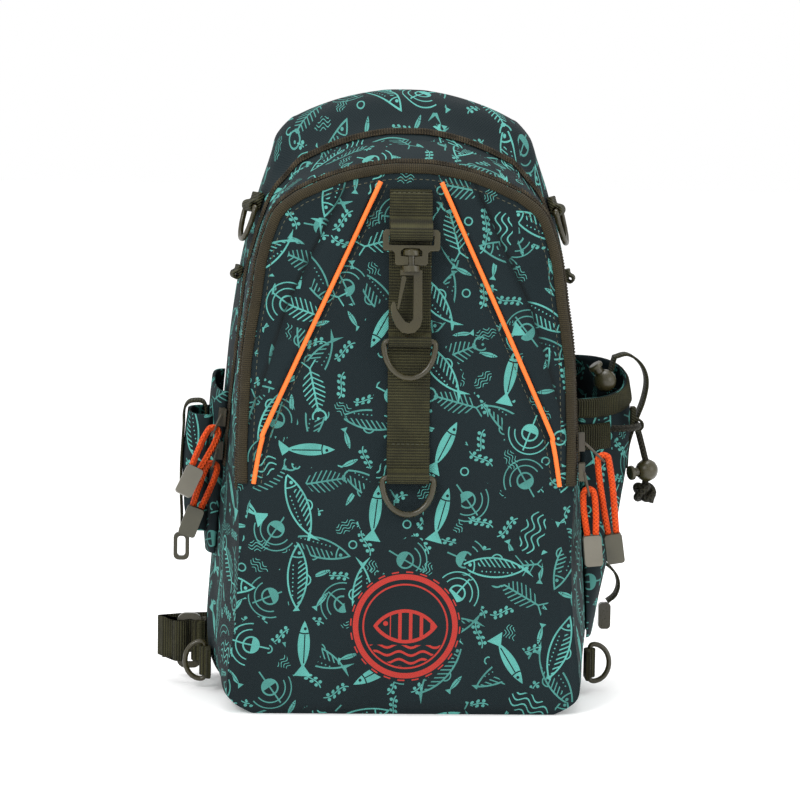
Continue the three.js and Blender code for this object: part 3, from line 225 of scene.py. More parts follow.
# The print's grid of cells: the place inside a cell, turned at random, and the cell's own number
def cells(tree, uv, scale, seed):
    shift = node(tree, "VectorMath")
    shift.operation = "ADD"
    shift.inputs[1].default_value = (seed, seed * 0.7, 0)
    tree.links.new(uv, shift.inputs[0])
    made = node(tree, "TexVoronoi", Scale=scale, Randomness=0.62)
    made.voronoi_dimensions = "2D"
    tree.links.new(shift.outputs[0], made.inputs["Vector"])
    local = node(tree, "VectorMath")
    local.operation = "SUBTRACT"
    tree.links.new(shift.outputs[0], local.inputs[0])
    tree.links.new(made.outputs["Position"], local.inputs[1])
    split = node(tree, "SeparateXYZ")
    tree.links.new(local.outputs[0], split.inputs[0])
    colour = node(tree, "SeparateColor")
    tree.links.new(made.outputs["Color"], colour.inputs[0])
    x = Value(tree, split.outputs[0]) * 1000
    y = Value(tree, split.outputs[1]) * 1000
    kind = Value(tree, colour.outputs[0])
    turn = Value(tree, colour.outputs[1]) * math.tau
    c = turn.cosine()
    s = turn.sine()
    return x * c + y * s, y * c - x * s, kind


# The motifs are drawn in millimetres round the middle of a cell. This one is an outlined fish
# with hatched back, dots along the side and a forked tail.
def fish_motif(x, y):
    body = length(x, y.absolute() + 28.4) - 34
    inside = body.less(0)
    tail = (y.absolute() - (x - 17) * 0.62).less(0) * x.more(17) * x.less(24)
    tail = tail * ((y.absolute() - (x - 20.5) * 1.2).less(0)).math("SUBTRACT", 1).absolute()
    gill = (length(x + 21, y) - 10).line(0.4) * inside
    eye = length(x + 13.6, y - 0.8).less(1.0)
    hatch = (((x + y * 0.8) * 0.34).fraction() - 0.5).line(0.16)
    back = hatch * inside * x.more(-9) * y.more(0.3)
    dots = length((x * 0.4).fraction() - 0.5, (y + 2.6) * 0.4).less(0.17) * inside * x.more(-8)
    fin = (length(x - 2, y - 4.5) - 3.2).line(0.4) * body.more(0) * y.more(0)
    return (body.line(0.5).maximum(tail).maximum(gill).maximum(eye).maximum(back)
            .maximum(dots).maximum(fin))


# Filled fish with a bare stripe and eye
def solid_fish_motif(x, y):
    body = length(x, y.absolute() + 26.5) - 30
    tail = (y.absolute() - (x - 11.5) * 0.75).less(0) * x.more(12) * x.less(18.5)
    bare = (y - 0.4).line(0.35) * x.more(-6) * x.less(11)
    bare = bare.maximum(length(x + 9.4, y - 0.5).less(0.9))
    bare = bare.maximum((length(x + 15, y) - 8.5).line(0.4))
    return (body.less(0) * (bare - 1).absolute()).maximum(tail)


def bone_motif(x, y):
    spine = y.line(0.5) * x.absolute().less(13)
    reach = (x * x * -0.032 + 6.4).maximum(0.8)
    ribs = (((x + y.absolute() * 0.7) * 0.33).fraction() - 0.5).line(0.14)
    ribs = ribs * (y.absolute() - reach).less(0) * x.absolute().less(12)
    head = (length(x + 16, y) - 3.9).line(0.5)
    eye = length(x + 16.8, y - 0.8).less(0.8)
    fork = (y.absolute() - (x - 12.5) * 0.9).line(0.55) * x.more(12.5) * x.less(17)
    return spine.maximum(ribs).maximum(head).maximum(eye).maximum(fork)


# Float with rings on the water below it
def float_motif(x, y):
    r = length(x, y)
    ball = (r - 4.6).line(0.5)
    half = r.less(4.6) * y.more(0.3)
    stem = x.line(0.45) * y.absolute().less(11)
    ripple = ((r * 0.28).fraction() - 0.5).line(0.1) * r.more(6) * r.less(14) * y.less(-1)
    return ball.maximum(half).maximum(stem).maximum(ripple)


def wave_motif(x, y):
    wave = y + (x * 0.55).sine() * 1.7
    band = ((wave * 0.26).fraction() - 0.5).line(0.12)
    return band * length(x * 0.55, y).less(7)


# Bent weed stem with round leaves
def weed_motif(x, y):
    bend = y - (x * 0.3).sine() * 1.6
    stem = bend.line(0.35) * x.absolute().less(8)
    leaf = length((x * 0.3).fraction() - 0.5, (bend.absolute() - 1.5) * 0.3)
    return stem.maximum(leaf.less(0.3) * x.absolute().less(7) * bend.absolute().less(2.6))


def ring_motif(x, y):
    return (length(x, y) - 2.2).line(0.4)


# One motif a cell, drawn smaller by its zoom and picked by the cell's own number, up to a limit
def picked(cell, motifs):
    x, y, kind = cell
    shown = None
    low = 0
    for motif, zoom, high in motifs:
        part = motif(x * zoom, y * zoom) * kind.more(low) * kind.less(high)
        shown = part if shown is None else shown.maximum(part)
        low = high
    return shown


def print_mask(tree, uv):
    cell = cells(tree, uv, 25, 0.31)
    large = picked(cell, ((fish_motif, 1, .36), (solid_fish_motif, 1, .6), (bone_motif, 1, .75),
                          (float_motif, 1, .87), (wave_motif, 1, 1)))
    near = length(cell[0] * 0.62, cell[1]).more(10.5)
    small = picked(cells(tree, uv, 62, 2.17), (
        (weed_motif, 1, .35), (wave_motif, 2, .55), (solid_fish_motif, 2.6, .85),
        (ring_motif, 1, 1)))
    cell = cells(tree, uv, 27, 5.43)
    lines = picked(cell, ((fish_motif, 1, .4), (bone_motif, 1, .7), (float_motif, 1, 1)))
    clear = length(cell[0] * 0.62, cell[1]).more(9.5)
    return large.maximum((small * clear).maximum(lines * 0.75) * near * 0.85)


# Round emblem with a fish over waves, in millimetres round its middle
def emblem(u, v):
    x = u * 1000
    y = (v - emblem_height) * 1000
    r = length(x, y)
    ring = (r - 29).line(1.6).maximum((r - 24.5).line(0.5))
    body = length(x, y.absolute() + 12.5) - 21.5
    fish = body.line(1.0)
    stripes = ((x * 0.16).fraction() - 0.5).line(0.16) * body.less(0) * x.more(-9)
    eye = length(x + 11.5, y - 1.5).less(1.4)
    waves = (((y + (x * 0.45).sine() * 1.2) * 0.22).fraction() - 0.5).line(0.16)
    waves = waves * r.less(23.5) * y.less(-11)
    knots = (r - 31.8).line(0.4) * (x.math("ARCTAN2", y) * 24).sine().more(0)
    return (ring.maximum(fish * r.less(24)).maximum(stripes).maximum(eye).maximum(waves)
            .maximum(knots))


# Distance outside a seam of the front panel, in shares of its half width. The seam runs down
# and outwards through corners given as shares of the panel's half width and height.
def beyond_seam(u, v, corners):
    across = u.absolute() / panel_half
    height = v / panel_height
    seam = None
    for (x0, h0), (x1, h1) in zip(corners, corners[1:]):
        slope = (x1 - x0) / (h1 - h0)
        line = height * slope + (x0 - h0 * slope)
        seam = line if seam is None else seam.minimum(line)
    return across - seam


def shifted(tree, uv, share, step):
    made = node(tree, "VectorMath")
    made.operation = "MULTIPLY_ADD"
    tree.links.new(share.socket, made.inputs[0])
    made.inputs[1].default_value = step
    tree.links.new(uv, made.inputs[2])
    return made.outputs[0]


def cloth_material(name, printed=True, badge=False):
    made, tree, shader = material(name)
    uv, u, v = metres(tree)
    base = mottled(tree, deep_cloth, dark_cloth, 14)
    weave = (u * 4200).sine() * (v * 4200).sine()
    if printed:
        fade = speckle(tree, uv, 60.0, 3.0)
        spot = uv
        if badge:
            outside = beyond_seam(u, v, piping_line)
            past_fold = beyond_seam(u, v, pleat_line)
            spot = shifted(tree, uv, outside.more(0), (0.37, 0.21, 0))
            spot = shifted(tree, spot, past_fold.more(0) * outside.more(0), (0.53, -0.29, 0))
        mask = print_mask(tree, spot) * (fade * 0.7 + 0.42)
        if badge:
            mask = mask * length(u * 1000, (v - emblem_height) * 1000).more(emblem_reach)
        base = mix(tree, mask, base, print_teal)
    if badge:
        base = mix(tree, emblem(u, v) * 0.85, base, rgb(176, 52, 44))
        # Painted shade beside the pleat fold: near-black colour laid in a band just outside the
        # fold line and, fainter, in a narrow band just inside it
        crease_shade = (past_fold * -28 + 1).math("MULTIPLY", past_fold.more(0), clamp=True)
        edge = (past_fold * 60 + 1).math("MULTIPLY", past_fold.less(0), clamp=True)
        shade = (crease_shade * 0.8).maximum(edge * 0.25) * outside.more(0.02) * v.more(0.14)
        base = mix(tree, shade, base, rgb(4, 9, 10))
    surface(tree, shader, base, 0.82, 0.22)
    wrinkle = speckle(tree, uv, 45.0, 4.0)
    bump(tree, shader, weave * 0.25 + wrinkle * 1.6, 0.5, 0.0009)
    return made


def webbing_material(name, light, dark, pitch=0.0016):
    made, tree, shader = material(name)
    _, u, v = metres(tree)
    ribs = (u * (math.tau / pitch)).sine()
    threads = (v * (math.tau / 0.0011)).sine()
    base = mottled(tree, dark, light, 90)
    shade = mix(tree, (ribs * 0.5 + 0.5 - threads * 0.12) * 0.85, base, dark)
    surface(tree, shader, shade, 0.8, 0.25)
    bump(tree, shader, ribs + threads * 0.35, 0.8, 0.0005)
    return made


def plastic_material(name, light, dark, rough):
    made, tree, shader = material(name)
    base = mottled(tree, dark, light, 60)
    geometry = node(tree, "NewGeometry")
    worn = Value(tree, geometry.outputs["Pointiness"]).math("SUBTRACT", 0.5)
    worn = worn.math("MULTIPLY", 6, clamp=True)
    tone = mix(tree, worn * 0.25, base, rgb(112, 106, 74))
    surface(tree, shader, tone, rough, 0.5)
    grain = speckle(tree, node(tree, "TexCoord").outputs["Object"], 1400.0, 2.0)
    tree.links.new((grain * 0.2 + rough).socket, shader.inputs["Roughness"])
    bump(tree, shader, grain, 0.3, 0.0003)
    return made


def braid_material(name, light, dark):
    made, tree, shader = material(name)
    _, u, v = metres(tree)
    first = (u * 2600 + v * math.tau * 4).sine()
    second = (u * 2600 - v * math.tau * 4).sine()
    braid = first.maximum(second)
    base = mottled(tree, dark, light, 160)
    tone = mix(tree, (braid * 0.5 + 0.5) * 0.9, dark, base)
    surface(tree, shader, tone, 0.62, 0.25)
    bump(tree, shader, braid, 0.9, 0.0006)
    return made


def spacer_material(name):
    made, tree, shader = material(name)
    holes = node(tree, "TexVoronoi", Scale=520.0, Randomness=0.15)
    tree.links.new(metres(tree)[0], holes.inputs["Vector"])
    pit = Value(tree, holes.outputs["Distance"])
    tone = mix(tree, pit.math("MULTIPLY", 1.5, clamp=True), rgb(8, 12, 14), rgb(36, 42, 44))
    surface(tree, shader, tone, 0.9, 0.2)
    bump(tree, shader, pit, 0.9, 0.0012)
    return made


def paper_material(name):
    made, tree, shader = material(name)
    paper = mottled(tree, (0.9, 0.9, 0.9, 1), (0.94, 0.94, 0.94, 1), 3)
    surface(tree, shader, paper, 0.9, 0.5)
    tree.links.new(paper, shader.inputs["Emission Color"])
    shader.inputs["Emission Strength"].default_value = 0.16
    return made


printed_cloth = cloth_material("printed_cloth")
panel_cloth = cloth_material("panel_cloth", badge=True)
plain_cloth = cloth_material("plain_cloth", printed=False)
spacer_mesh = spacer_material("spacer_mesh")
olive_webbing = webbing_material("olive_webbing", rgb(78, 76, 46), rgb(19, 19, 9))
binding_tape = webbing_material("binding_tape", rgb(76, 67, 44), rgb(36, 31, 19), 0.0012)
coil_tape = webbing_material("coil_tape", rgb(84, 73, 52), rgb(26, 22, 15))
moulded = plastic_material("moulded_plastic", rgb(54, 49, 24), rgb(31, 28, 13), 0.2)
grey_rubber = plastic_material("grey_rubber", rgb(112, 108, 97), rgb(86, 83, 73), 0.36)
slider_metal = plastic_material("slider_metal", rgb(62, 55, 43), rgb(30, 26, 20), 0.28)
orange_braid = braid_material("orange_braid", rgb(255, 98, 26), rgb(196, 58, 10))
olive_braid = braid_material("olive_braid", rgb(50, 47, 30), rgb(20, 19, 11))
piping_tape = plastic_material("piping_tape", rgb(255, 122, 34), rgb(244, 102, 22), 0.5)
olive_rubber = plastic_material("olive_rubber", rgb(76, 74, 60), rgb(54, 52, 40), 0.36)
thread = plastic_material("thread", rgb(66, 70, 58), rgb(44, 48, 40), 0.7)


# Piece helpers
def set_metres(mesh, pairs):
    layer = mesh.uv_layers.new(name="metres")
    index = np.empty(len(mesh.loops), dtype=np.int32)
    mesh.loops.foreach_get("vertex_index", index)
    layer.data.foreach_set("uv", np.asarray(pairs, dtype=np.float32)[index].ravel())


def shade_smooth(mesh):
    mesh.polygons.foreach_set("use_smooth", [True] * len(mesh.polygons))


def piece(name, points, faces, finish, uv=None, replaces=None):
    mesh = bpy.data.meshes.new(name)
    mesh.from_pydata([tuple(p) for p in points], [], faces)
    mesh.validate()
    if uv is not None:
        set_metres(mesh, uv)
    made = placed(name, mesh)
    tidy = bmesh.new()
    tidy.from_mesh(mesh)
    bmesh.ops.recalc_face_normals(tidy, faces=tidy.faces)
    tidy.to_mesh(mesh)
    tidy.free()
    shade_smooth(mesh)
    mesh.materials.append(finish)
    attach(made, "bag")
    if replaces:
        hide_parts(replaces)
    return made


def grid_faces(rows, count, closed=False, start=0, flip=False):
    faces = []
    for r in range(rows - 1):
        for c in range(count if closed else count - 1):
            n = (c + 1) % count
            quad = (start + r * count + c, start + r * count + n,
                    start + (r + 1) * count + n, start + (r + 1) * count + c)
            faces.append(quad[::-1] if flip else quad)
    return faces


# Faces that close both ends of a closed grid
def caps(total, size, start=0):
    return [tuple(range(start, start + size))[::-1],
            tuple(range(start + total - size, start + total))]


# Smooth curve through four points, between the middle two
def through(t, before, start, end, after):
    return 0.5 * ((2 * start) + (end - before) * t
                  + (2 * before - 5 * start + 4 * end - after) * t ** 2
                  + (3 * start - before - 3 * end + after) * t ** 3)


# Curve between two places with a given direction at each
def hermite(t, start, leave, end, arrive):
    return ((2 * t ** 3 - 3 * t ** 2 + 1) * start + (t ** 3 - 2 * t ** 2 + t) * leave
            + (3 * t ** 2 - 2 * t ** 3) * end + (t ** 3 - t ** 2) * arrive)


def spline(points, steps):
    out = []
    last = len(points) - 1
    for k in range(steps + 1):
        at = last * k / steps
        i = min(int(at), last - 1)
        out.append(through(at - i, points[max(i - 1, 0)], points[i], points[i + 1],
                           points[min(i + 2, last)]))
    return out


# Each value's mean with its neighbours, up to reach places away
def averaged(values, reach):
    spans = [values[max(k - reach, 0):k + reach + 1] for k in range(len(values))]
    return [sum(span[1:], span[0]) / len(span) for span in spans]


def tube(name, route, radius, sides, steps, finish, replaces):
    path = spline([Vector(p) for p in route], steps)
    points, uv = [], []
    run = 0.0
    up = Vector((0, 0, 1))
    for k, p in enumerate(path):
        along = (path[min(k + 1, len(path) - 1)] - path[max(k - 1, 0)]).normalized()
        side = along.cross(up)
        if side.length < 0.2:
            side = along.cross(Vector((1, 0, 0)))
        side.normalize()
        other = along.cross(side)
        up = -other
        if k:
            run += (p - path[k - 1]).length
        for s in range(sides):
            angle = math.tau * s / sides
            points.append(p + radius * (math.cos(angle) * side + math.sin(angle) * other))
            uv.append((run, s / sides))
    faces = grid_faces(len(path), sides, closed=True) + caps(len(points), sides)
    return piece(name, points, faces, finish, uv=uv, replaces=replaces), path, run


# Routes of the cords
pull_routes = {
    1: [(-.1256, -.014, .1396), (-.1236, -.0127, .1448), (-.1214, -.0115, .15),
        (-.1192, -.0102, .1551), (-.1164, -.009, .1599), (-.1146, -.0085, .1615),
        (-.1121, -.0083, .1613), (-.1105, -.0085, .1595), (-.1106, -.009, .1571),
        (-.1127, -.0102, .1519), (-.1154, -.0115, .147), (-.1182, -.0127, .1421),
        (-.1211, -.014, .1374)],
    2: [(-.1251, -.0033, .1141), (-.1234, -.0035, .1201), (-.1215, -.0036, .126),
        (-.1195, -.0038, .1319), (-.117, -.004, .1376), (-.1153, -.0041, .1394),
        (-.1129, -.0041, .1395), (-.1111, -.0041, .1378), (-.111, -.004, .1354),
        (-.1128, -.0038, .1294), (-.1152, -.0036, .1237), (-.1177, -.0035, .118),
        (-.1204, -.0033, .1123)],
    3: [(.1206, -.0402, .1047), (.1183, -.0417, .1156), (.1162, -.0431, .1265),
        (.1142, -.0446, .1375), (.1128, -.046, .1485), (.1134, -.0463, .1509),
        (.1155, -.0464, .1521), (.1179, -.0463, .1516), (.1192, -.046, .1495),
        (.1213, -.0446, .1386), (.1229, -.0431, .1276), (.1242, -.0417, .1166),
        (.1255, -.0402, .1055)],
    4: [(.1072, -.0504, .105), (.1061, -.0501, .1109), (.1052, -.0497, .1168),
        (.1045, -.0494, .1227), (.1043, -.049, .1287), (.105, -.0489, .131),
        (.1072, -.0488, .1322), (.1095, -.0489, .1315), (.1107, -.049, .1293),
        (.1116, -.0494, .1234), (.112, -.0497, .1174), (.1121, -.0501, .1115),
        (.1121, -.0504, .1055)],
}
lock_route = [
    (.1255, -.0062, .1634), (.1285, -.0069, .1634), (.132, -.007, .1635), (.136, -.006, .1637),
    (.1398, -.0035, .1639), (.1422, .0005, .164), (.1428, .005, .164), (.1428, .01, .164),
    (.1428, .0145, .164), (.1434, .0172, .1624), (.1448, .0179, .1588), (.1462, .0179, .154),
    (.1476, .018, .149), (.1488, .0184, .1446), (.1503, .0194, .1395), (.1508, .02, .135),
    (.1502, .02, .129), (.1494, .02, .1235)]

for number, route in pull_routes.items():
    cord, path, run = tube(f"pull_cord_braid_{number}", route, 0.0019, 12, 90, orange_braid,
                           f"pull_cord_{number}")

knot_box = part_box("cord_knot")
knot_middle = (Vector(knot_box[0]) + Vector(knot_box[1])) / 2
knot_route = []
for k in range(49):
    angle = math.tau * k / 48
    knot_route.append(knot_middle + Vector((
        (0.0033 + 0.0021 * math.cos(3 * angle)) * math.cos(2 * angle),
        (0.0031 + 0.0019 * math.cos(3 * angle)) * math.sin(2 * angle),
        0.0036 * math.sin(3 * angle))))
knot_route.append(knot_middle + Vector((0.0036, -0.001, -0.0062)))
knot, _, _ = tube("cord_knot_loops", knot_route, 0.0024, 12, 150, olive_braid, "cord_knot")
lock_cord, path, run = tube("lock_cord_elastic", lock_route, 0.002, 12, 110, olive_braid,
                            "lock_cord")

# Outline of the bag, as in the frame: shares of each section's height and half width
rows = [
    (0, .846, .82, .81), (.03, .985, .955, .95), (.09, .985, 1, 1), (.17, .952, .996, .996),
    (.3, .935, .973, .961), (.42, .945, .942, .94), (.54, .94, .911, .912),
    (.66, .925, .87, .869), (.75, .886, .842, .819), (.83, .851, .777, .754),
    (.89, .795, .705, .694), (.92, .745, .625, .664), (.945, .649, .5625, .595)]
shares = [.14, .26, .38, .5, .62, .74, .87, 1]
columns = [-1] + [-s for s in reversed(shares)] + shares + [1]
last = len(columns) - 1
top = len(rows) - 1
section_sizes = {"panel": (panel_height, panel_half, 1), "zip": (0.336, 0.112, 2),
                 "crest": (0.364, 0.116, 3)}
rim_nodes = ([(c, 0) for c in range(last)] + [(last, r) for r in range(top)]
             + [(c, top) for c in range(last, 0, -1)] + [(0, r) for r in range(top, 0, -1)])

# Points drawn for each rim node, and the first and last point of the arch that the zips follow
rim_steps = 8
arch = (last + 5) * rim_steps, (len(rim_nodes) - 5) * rim_steps


def rim_point(section, column, row):
    height, half, share = section_sizes[section]
    across = columns[column]
    if 0 < column < last:
        across *= 0.93
    tall = height * rows[row][0]
    if row == top:
        tall += height * (1 - rows[top][0]) * (1 - across * across)
    return across * half * rows[row][share], tall


def section_loop(section):
    rim = np.array([rim_point(section, c, r) for c, r in rim_nodes])
    before, after, later = (np.roll(rim, shift, 0) for shift in (1, -1, -2))
    loop = np.stack([through(k / rim_steps, before, rim, after, later)
                     for k in range(rim_steps)], 1).reshape(-1, 2)
    loop[:, 1] = np.maximum(loop[:, 1], floor_gap)
    return loop


panel_rim = section_loop("panel")
zip_rim = section_loop("zip")
crest_rim = section_loop("crest")
gusset_rim = panel_rim + 0.9 * (zip_rim - panel_rim)
shell_depths = np.array([shell_front, 0.006, 0.018, 0.03, shell_rear])
shell_rims = np.stack([gusset_rim] + [zip_rim + m * (crest_rim - zip_rim)
                                      for m in (0.31, 0.81, 1, 0.97)])
count = len(panel_rim)


def shell_rim(depth):
    k = int(np.clip(np.searchsorted(shell_depths, depth) - 1, 0, 3))
    slopes = np.gradient(shell_rims, shell_depths, axis=0)
    wide = shell_depths[k + 1] - shell_depths[k]
    t = np.clip((depth - shell_depths[k]) / wide, 0, 1)
    return hermite(t, shell_rims[k], wide * slopes[k], shell_rims[k + 1], wide * slopes[k + 1])


flank_rows = slice(last * rim_steps, (last + top) * rim_steps)
flank_cache = {}


# Half width of the shell at a depth and height
def flank(depth, z):
    key = round(depth, 4)
    if key not in flank_cache:
        rim = shell_rim(depth)[flank_rows]
        flank_cache[key] = (rim[:, 1], rim[:, 0])
    heights, xs = flank_cache[key]
    return float(np.interp(z, heights, xs))


def panel_depth(z):
    return -(panel_low_depth + (panel_high_depth - panel_low_depth) * z / panel_height)


def line_x(line, z):
    heights = [h * panel_height for _, h in reversed(line)]
    return float(np.interp(z, heights, [a * panel_half for a, _ in reversed(line)]))


def ease(t):
    t = min(1.0, max(0.0, t))
    return t * t * (3 - 2 * t)


# How far the front panel stands out: its crown, the folds past the piping and the pleats
def relief(x, z, inside):
    share = x / panel_half
    rise = math.sin(math.pi * min(max(z / panel_height, 0.0), 1.0)) ** 0.5
    lift = 0.003 + 0.007 * (1 - share ** 2) * rise
    wide = abs(x)
    fade = ease((z - 0.134) / 0.03) * ease((0.312 - z) / 0.012)
    off = wide - line_x(piping_line, z)
    if fade > 0:
        fold = wide - line_x(pleat_line, z)
        middle = (off + max(fold, -off)) / 2
        puff = 0.0034 * math.exp(-((middle / 0.009) ** 2)) * ease(off / 0.003)
        puff -= 0.002 * ease(fold / 0.004) * ease((z - 0.2) / 0.02)
        groove = 0.003 * math.exp(-((fold / 0.0017) ** 2)) * ease((z - 0.21) / 0.02)
        seam = 0.0008 * math.exp(-((off / 0.002) ** 2))
        lift += fade * (puff - groove - seam)
    return lift * ease(inside / rim_roll)


def panel_y(x, z, inside):
    soft = noise.noise(Vector((x * 22, z * 16, 3.1)))
    slant = noise.noise(Vector(((z + abs(x) * 0.9) * 34, (x - z * 0.4) * 9, 7.7)))
    sag = (0.0013 * soft + 0.0011 * slant) * ease(inside / 0.02)
    return panel_depth(z) - relief(x, z, inside) - sag


# Height of the line that the panel's rings close on
def spine(z):
    return min(max(z, 0.075), 0.235)


def outward(x, z):
    return Vector((x, z - spine(z))).normalized()


def rim_run(rim):
    return np.concatenate([[0], np.cumsum(np.linalg.norm(np.diff(rim, axis=0), axis=1))])


def panel_at(index, inside):
    x, z = panel_rim[index % count]
    way = Vector((-x, spine(z) - z))
    way.normalize()
    px, pz = x + way.x * inside, z + way.y * inside
    return Vector((px, panel_y(px, pz, inside), pz))


# Front pocket
rolled = (0, .0012, .0028, .005, rim_roll)
inner_rings = 66
rings = len(rolled) + inner_rings
points, uv = [], []
for level in range(rings):
    for x, z in panel_rim:
        middle = spine(z)
        reach = math.hypot(x, z - middle)
        if level < len(rolled):
            inside = rolled[level]
        else:
            inside = rim_roll + (reach - rim_roll) * ((level + 1 - len(rolled)) / inner_rings)
        t = inside / reach
        px, pz = x * (1 - t), z + (middle - z) * t
        points.append((px, panel_y(px, pz, inside), pz))
        uv.append((px, pz))
faces = grid_faces(rings, count, closed=True)
front = piece("front_panel_cloth", points, faces, panel_cloth, uv=uv, replaces="front_pocket")
weld = bmesh.new()
weld.from_mesh(front.data)
bmesh.ops.remove_doubles(weld, verts=weld.verts, dist=0.0002)
weld.to_mesh(front.data)
weld.free()

levels = 14
points, uv = [], []
run = rim_run(panel_rim)
for level in range(levels):
    t = level / (levels - 1)
    for k in range(count + 1):
        i = k % count
        x, z = panel_rim[i] + t * (gusset_rim[i] - panel_rim[i])
        start = panel_depth(panel_rim[i][1])
        y = start + t * (gusset_end - start)
        bow = 0
        if z >= flat_base:
            soft = noise.noise(Vector((x * 30, y * 40, z * 30)))
            bow = math.sin(math.pi * t) * (0.0012 + 0.0016 * soft)
        way = outward(x, z)
        points.append((x + way.x * bow, y, max(floor_gap, z + way.y * bow)))
        uv.append((run[min(k, count - 1)] + gusset_print, y))
piece("front_gusset_cloth", points, grid_faces(levels, count + 1), printed_cloth, uv=uv)

# Main shell
depths = np.linspace(shell_front, shell_rear, 30)
points, uv = [], []
run = rim_run(crest_rim)
for depth in depths:
    t = (depth - shell_front) / (shell_rear - shell_front)
    rim = shell_rim(depth)
    for k in range(count + 1):
        x, z = rim[k % count]
        bow = 0
        if z >= flat_base:
            soft = noise.noise(Vector((x * 24, depth * 50, z * 20)))
            bow = 0.0016 * soft * math.sin(math.pi * t)
        way = outward(x, z)
        points.append((x + way.x * bow, depth, max(floor_gap, z + way.y * bow)))
        uv.append((run[min(k, count - 1)] + shell_print, depth))
piece("main_shell_cloth", points, grid_faces(len(depths), count + 1), printed_cloth, uv=uv,
      replaces="main_shell")
for name, depth, step in (("shell_front_wall", shell_front + 0.0002, 0),
                          ("shell_rear_wall", shell_rear - 0.0002, 4)):
    points = [(x, depth, z) for x, z in shell_rims[step]] + [(0, depth, 0.15)]
    faces = [(k, (k + 1) % count, count) for k in range(count)]
    piece(name, points, faces, plain_cloth, uv=[(p[0], p[2]) for p in points])


# Bands along the arch
def arch_band(frame_at, profile, step=1, ridge=None):
    points, uv = [], []
    indices = np.arange(arch[0], arch[1] + 1, step)
    run = 0.0
    previous = None
    for at in indices:
        low, high = frame_at(at)
        after, _ = frame_at(min(at + 1, arch[1]))
        before, _ = frame_at(max(at - 1, arch[0]))
        if previous is not None:
            run += (low - previous).length
        previous = low
        normal = (after - before).cross(high - low).normalized()
        for share, off in profile:
            lift = off * (ridge(run) if ridge and off > 0.0009 else 1)
            points.append(low.lerp(high, share) + normal * lift)
            uv.append((run, share * 0.006))
    size = len(profile)
    faces = grid_faces(len(indices), size, closed=True) + caps(len(points), size)
    return points, faces, uv


def between(function):
    def sample(at):
        base = int(at)
        t = at - base
        a, b = function(base), function(base + 1)
        return a[0].lerp(b[0], t), a[1].lerp(b[1], t)
    return sample


# Where binding and zips start and end, from the edge that each follows
binding_span = (0.0004, 0.0068)
front_zip_span = (0.0062, 0.0008)
back_zip_span = (0.0107, 0.0053)


def span_along(start, toward, span):
    way = (toward - start).normalized()
    return start + way * span[0], start + way * span[1]


def binding_frame(index):
    edge = panel_at(index, 0.0)
    edge.y = panel_depth(edge.z)
    return span_along(edge, panel_at(index, 0.0072), binding_span)


def front_zip_frame(index):
    x, z = panel_rim[index % count]
    gx, gz = gusset_rim[index % count]
    return span_along(Vector((x, panel_depth(z), z)), Vector((gx, gusset_end, gz)),
                      front_zip_span)


def back_zip_frame(index):
    a = shell_rims[0][index % count]
    b = shell_rims[1][index % count]
    return span_along(Vector((a[0], shell_depths[0], a[1])),
                      Vector((b[0], shell_depths[1], b[1])), back_zip_span)


bead = [(math.cos(a), math.sin(a)) for a in np.linspace(math.pi, 0, 9)]
binding_profile = [(0, 0.0004), (1, 0.0004)] + [
    (0.5 - 0.5 * c, 0.0006 + 0.0028 * s) for c, s in bead]
points, faces, uv = arch_band(binding_frame, binding_profile)
piece("binding_tape_fold", points, faces, binding_tape, uv=uv, replaces="front_binding")
coil_profile = [(0, 0.0002), (1, 0.0002), (1, 0.0008), (0.82, 0.0009), (0.76, 0.0016),
                (0.62, 0.0021), (0.5, 0.0017), (0.38, 0.0021), (0.24, 0.0016), (0.18, 0.0009),
                (0, 0.0008)]
coil_pitch = 0.0018


def coil(run):
    return 0.72 + 0.28 * math.sin(run * math.tau / coil_pitch)


for name, function in (("front_zip", front_zip_frame), ("back_zip", back_zip_frame)):
    points, faces, uv = arch_band(between(function), coil_profile, step=0.16, ridge=coil)
    piece(f"{name}_coil", points, faces, coil_tape, uv=uv, replaces=name)


# Stitches: short thread bars along a line, both ends dipping into the cloth
def stitches(name, line, normal_at, pitch=0.0036, size=0.0024, radius=0.00028):
    marks = []
    travelled = 0.0
    due = pitch / 2
    for a, b in zip(line, line[1:]):
        span = (b - a).length
        while due <= travelled + span and span > 0:
            marks.append((a.lerp(b, (due - travelled) / span), (b - a).normalized()))
            due += pitch
        travelled += span
    points, faces = [], []
    for spot, along in marks:
        normal = normal_at(spot)
        side = along.cross(normal).normalized()
        start = len(points)
        for t, r, dip in ((-.5, .3, -.8), (-.32, 1, 0.2), (.32, 1, 0.2), (.5, .3, -.8)):
            for s in range(6):
                angle = math.pi * s / 3
                points.append(spot + along * t * size + normal * (
                    radius * (math.sin(angle) * r + dip)) + side * radius * math.cos(angle) * r)
        faces += grid_faces(4, 6, closed=True, start=start) + caps(24, 6, start)
    piece(name, points, faces, thread)


def panel_spot(x, z, lift=0.0):
    return Vector((x, panel_y(x, z, 0.03) - lift, z))


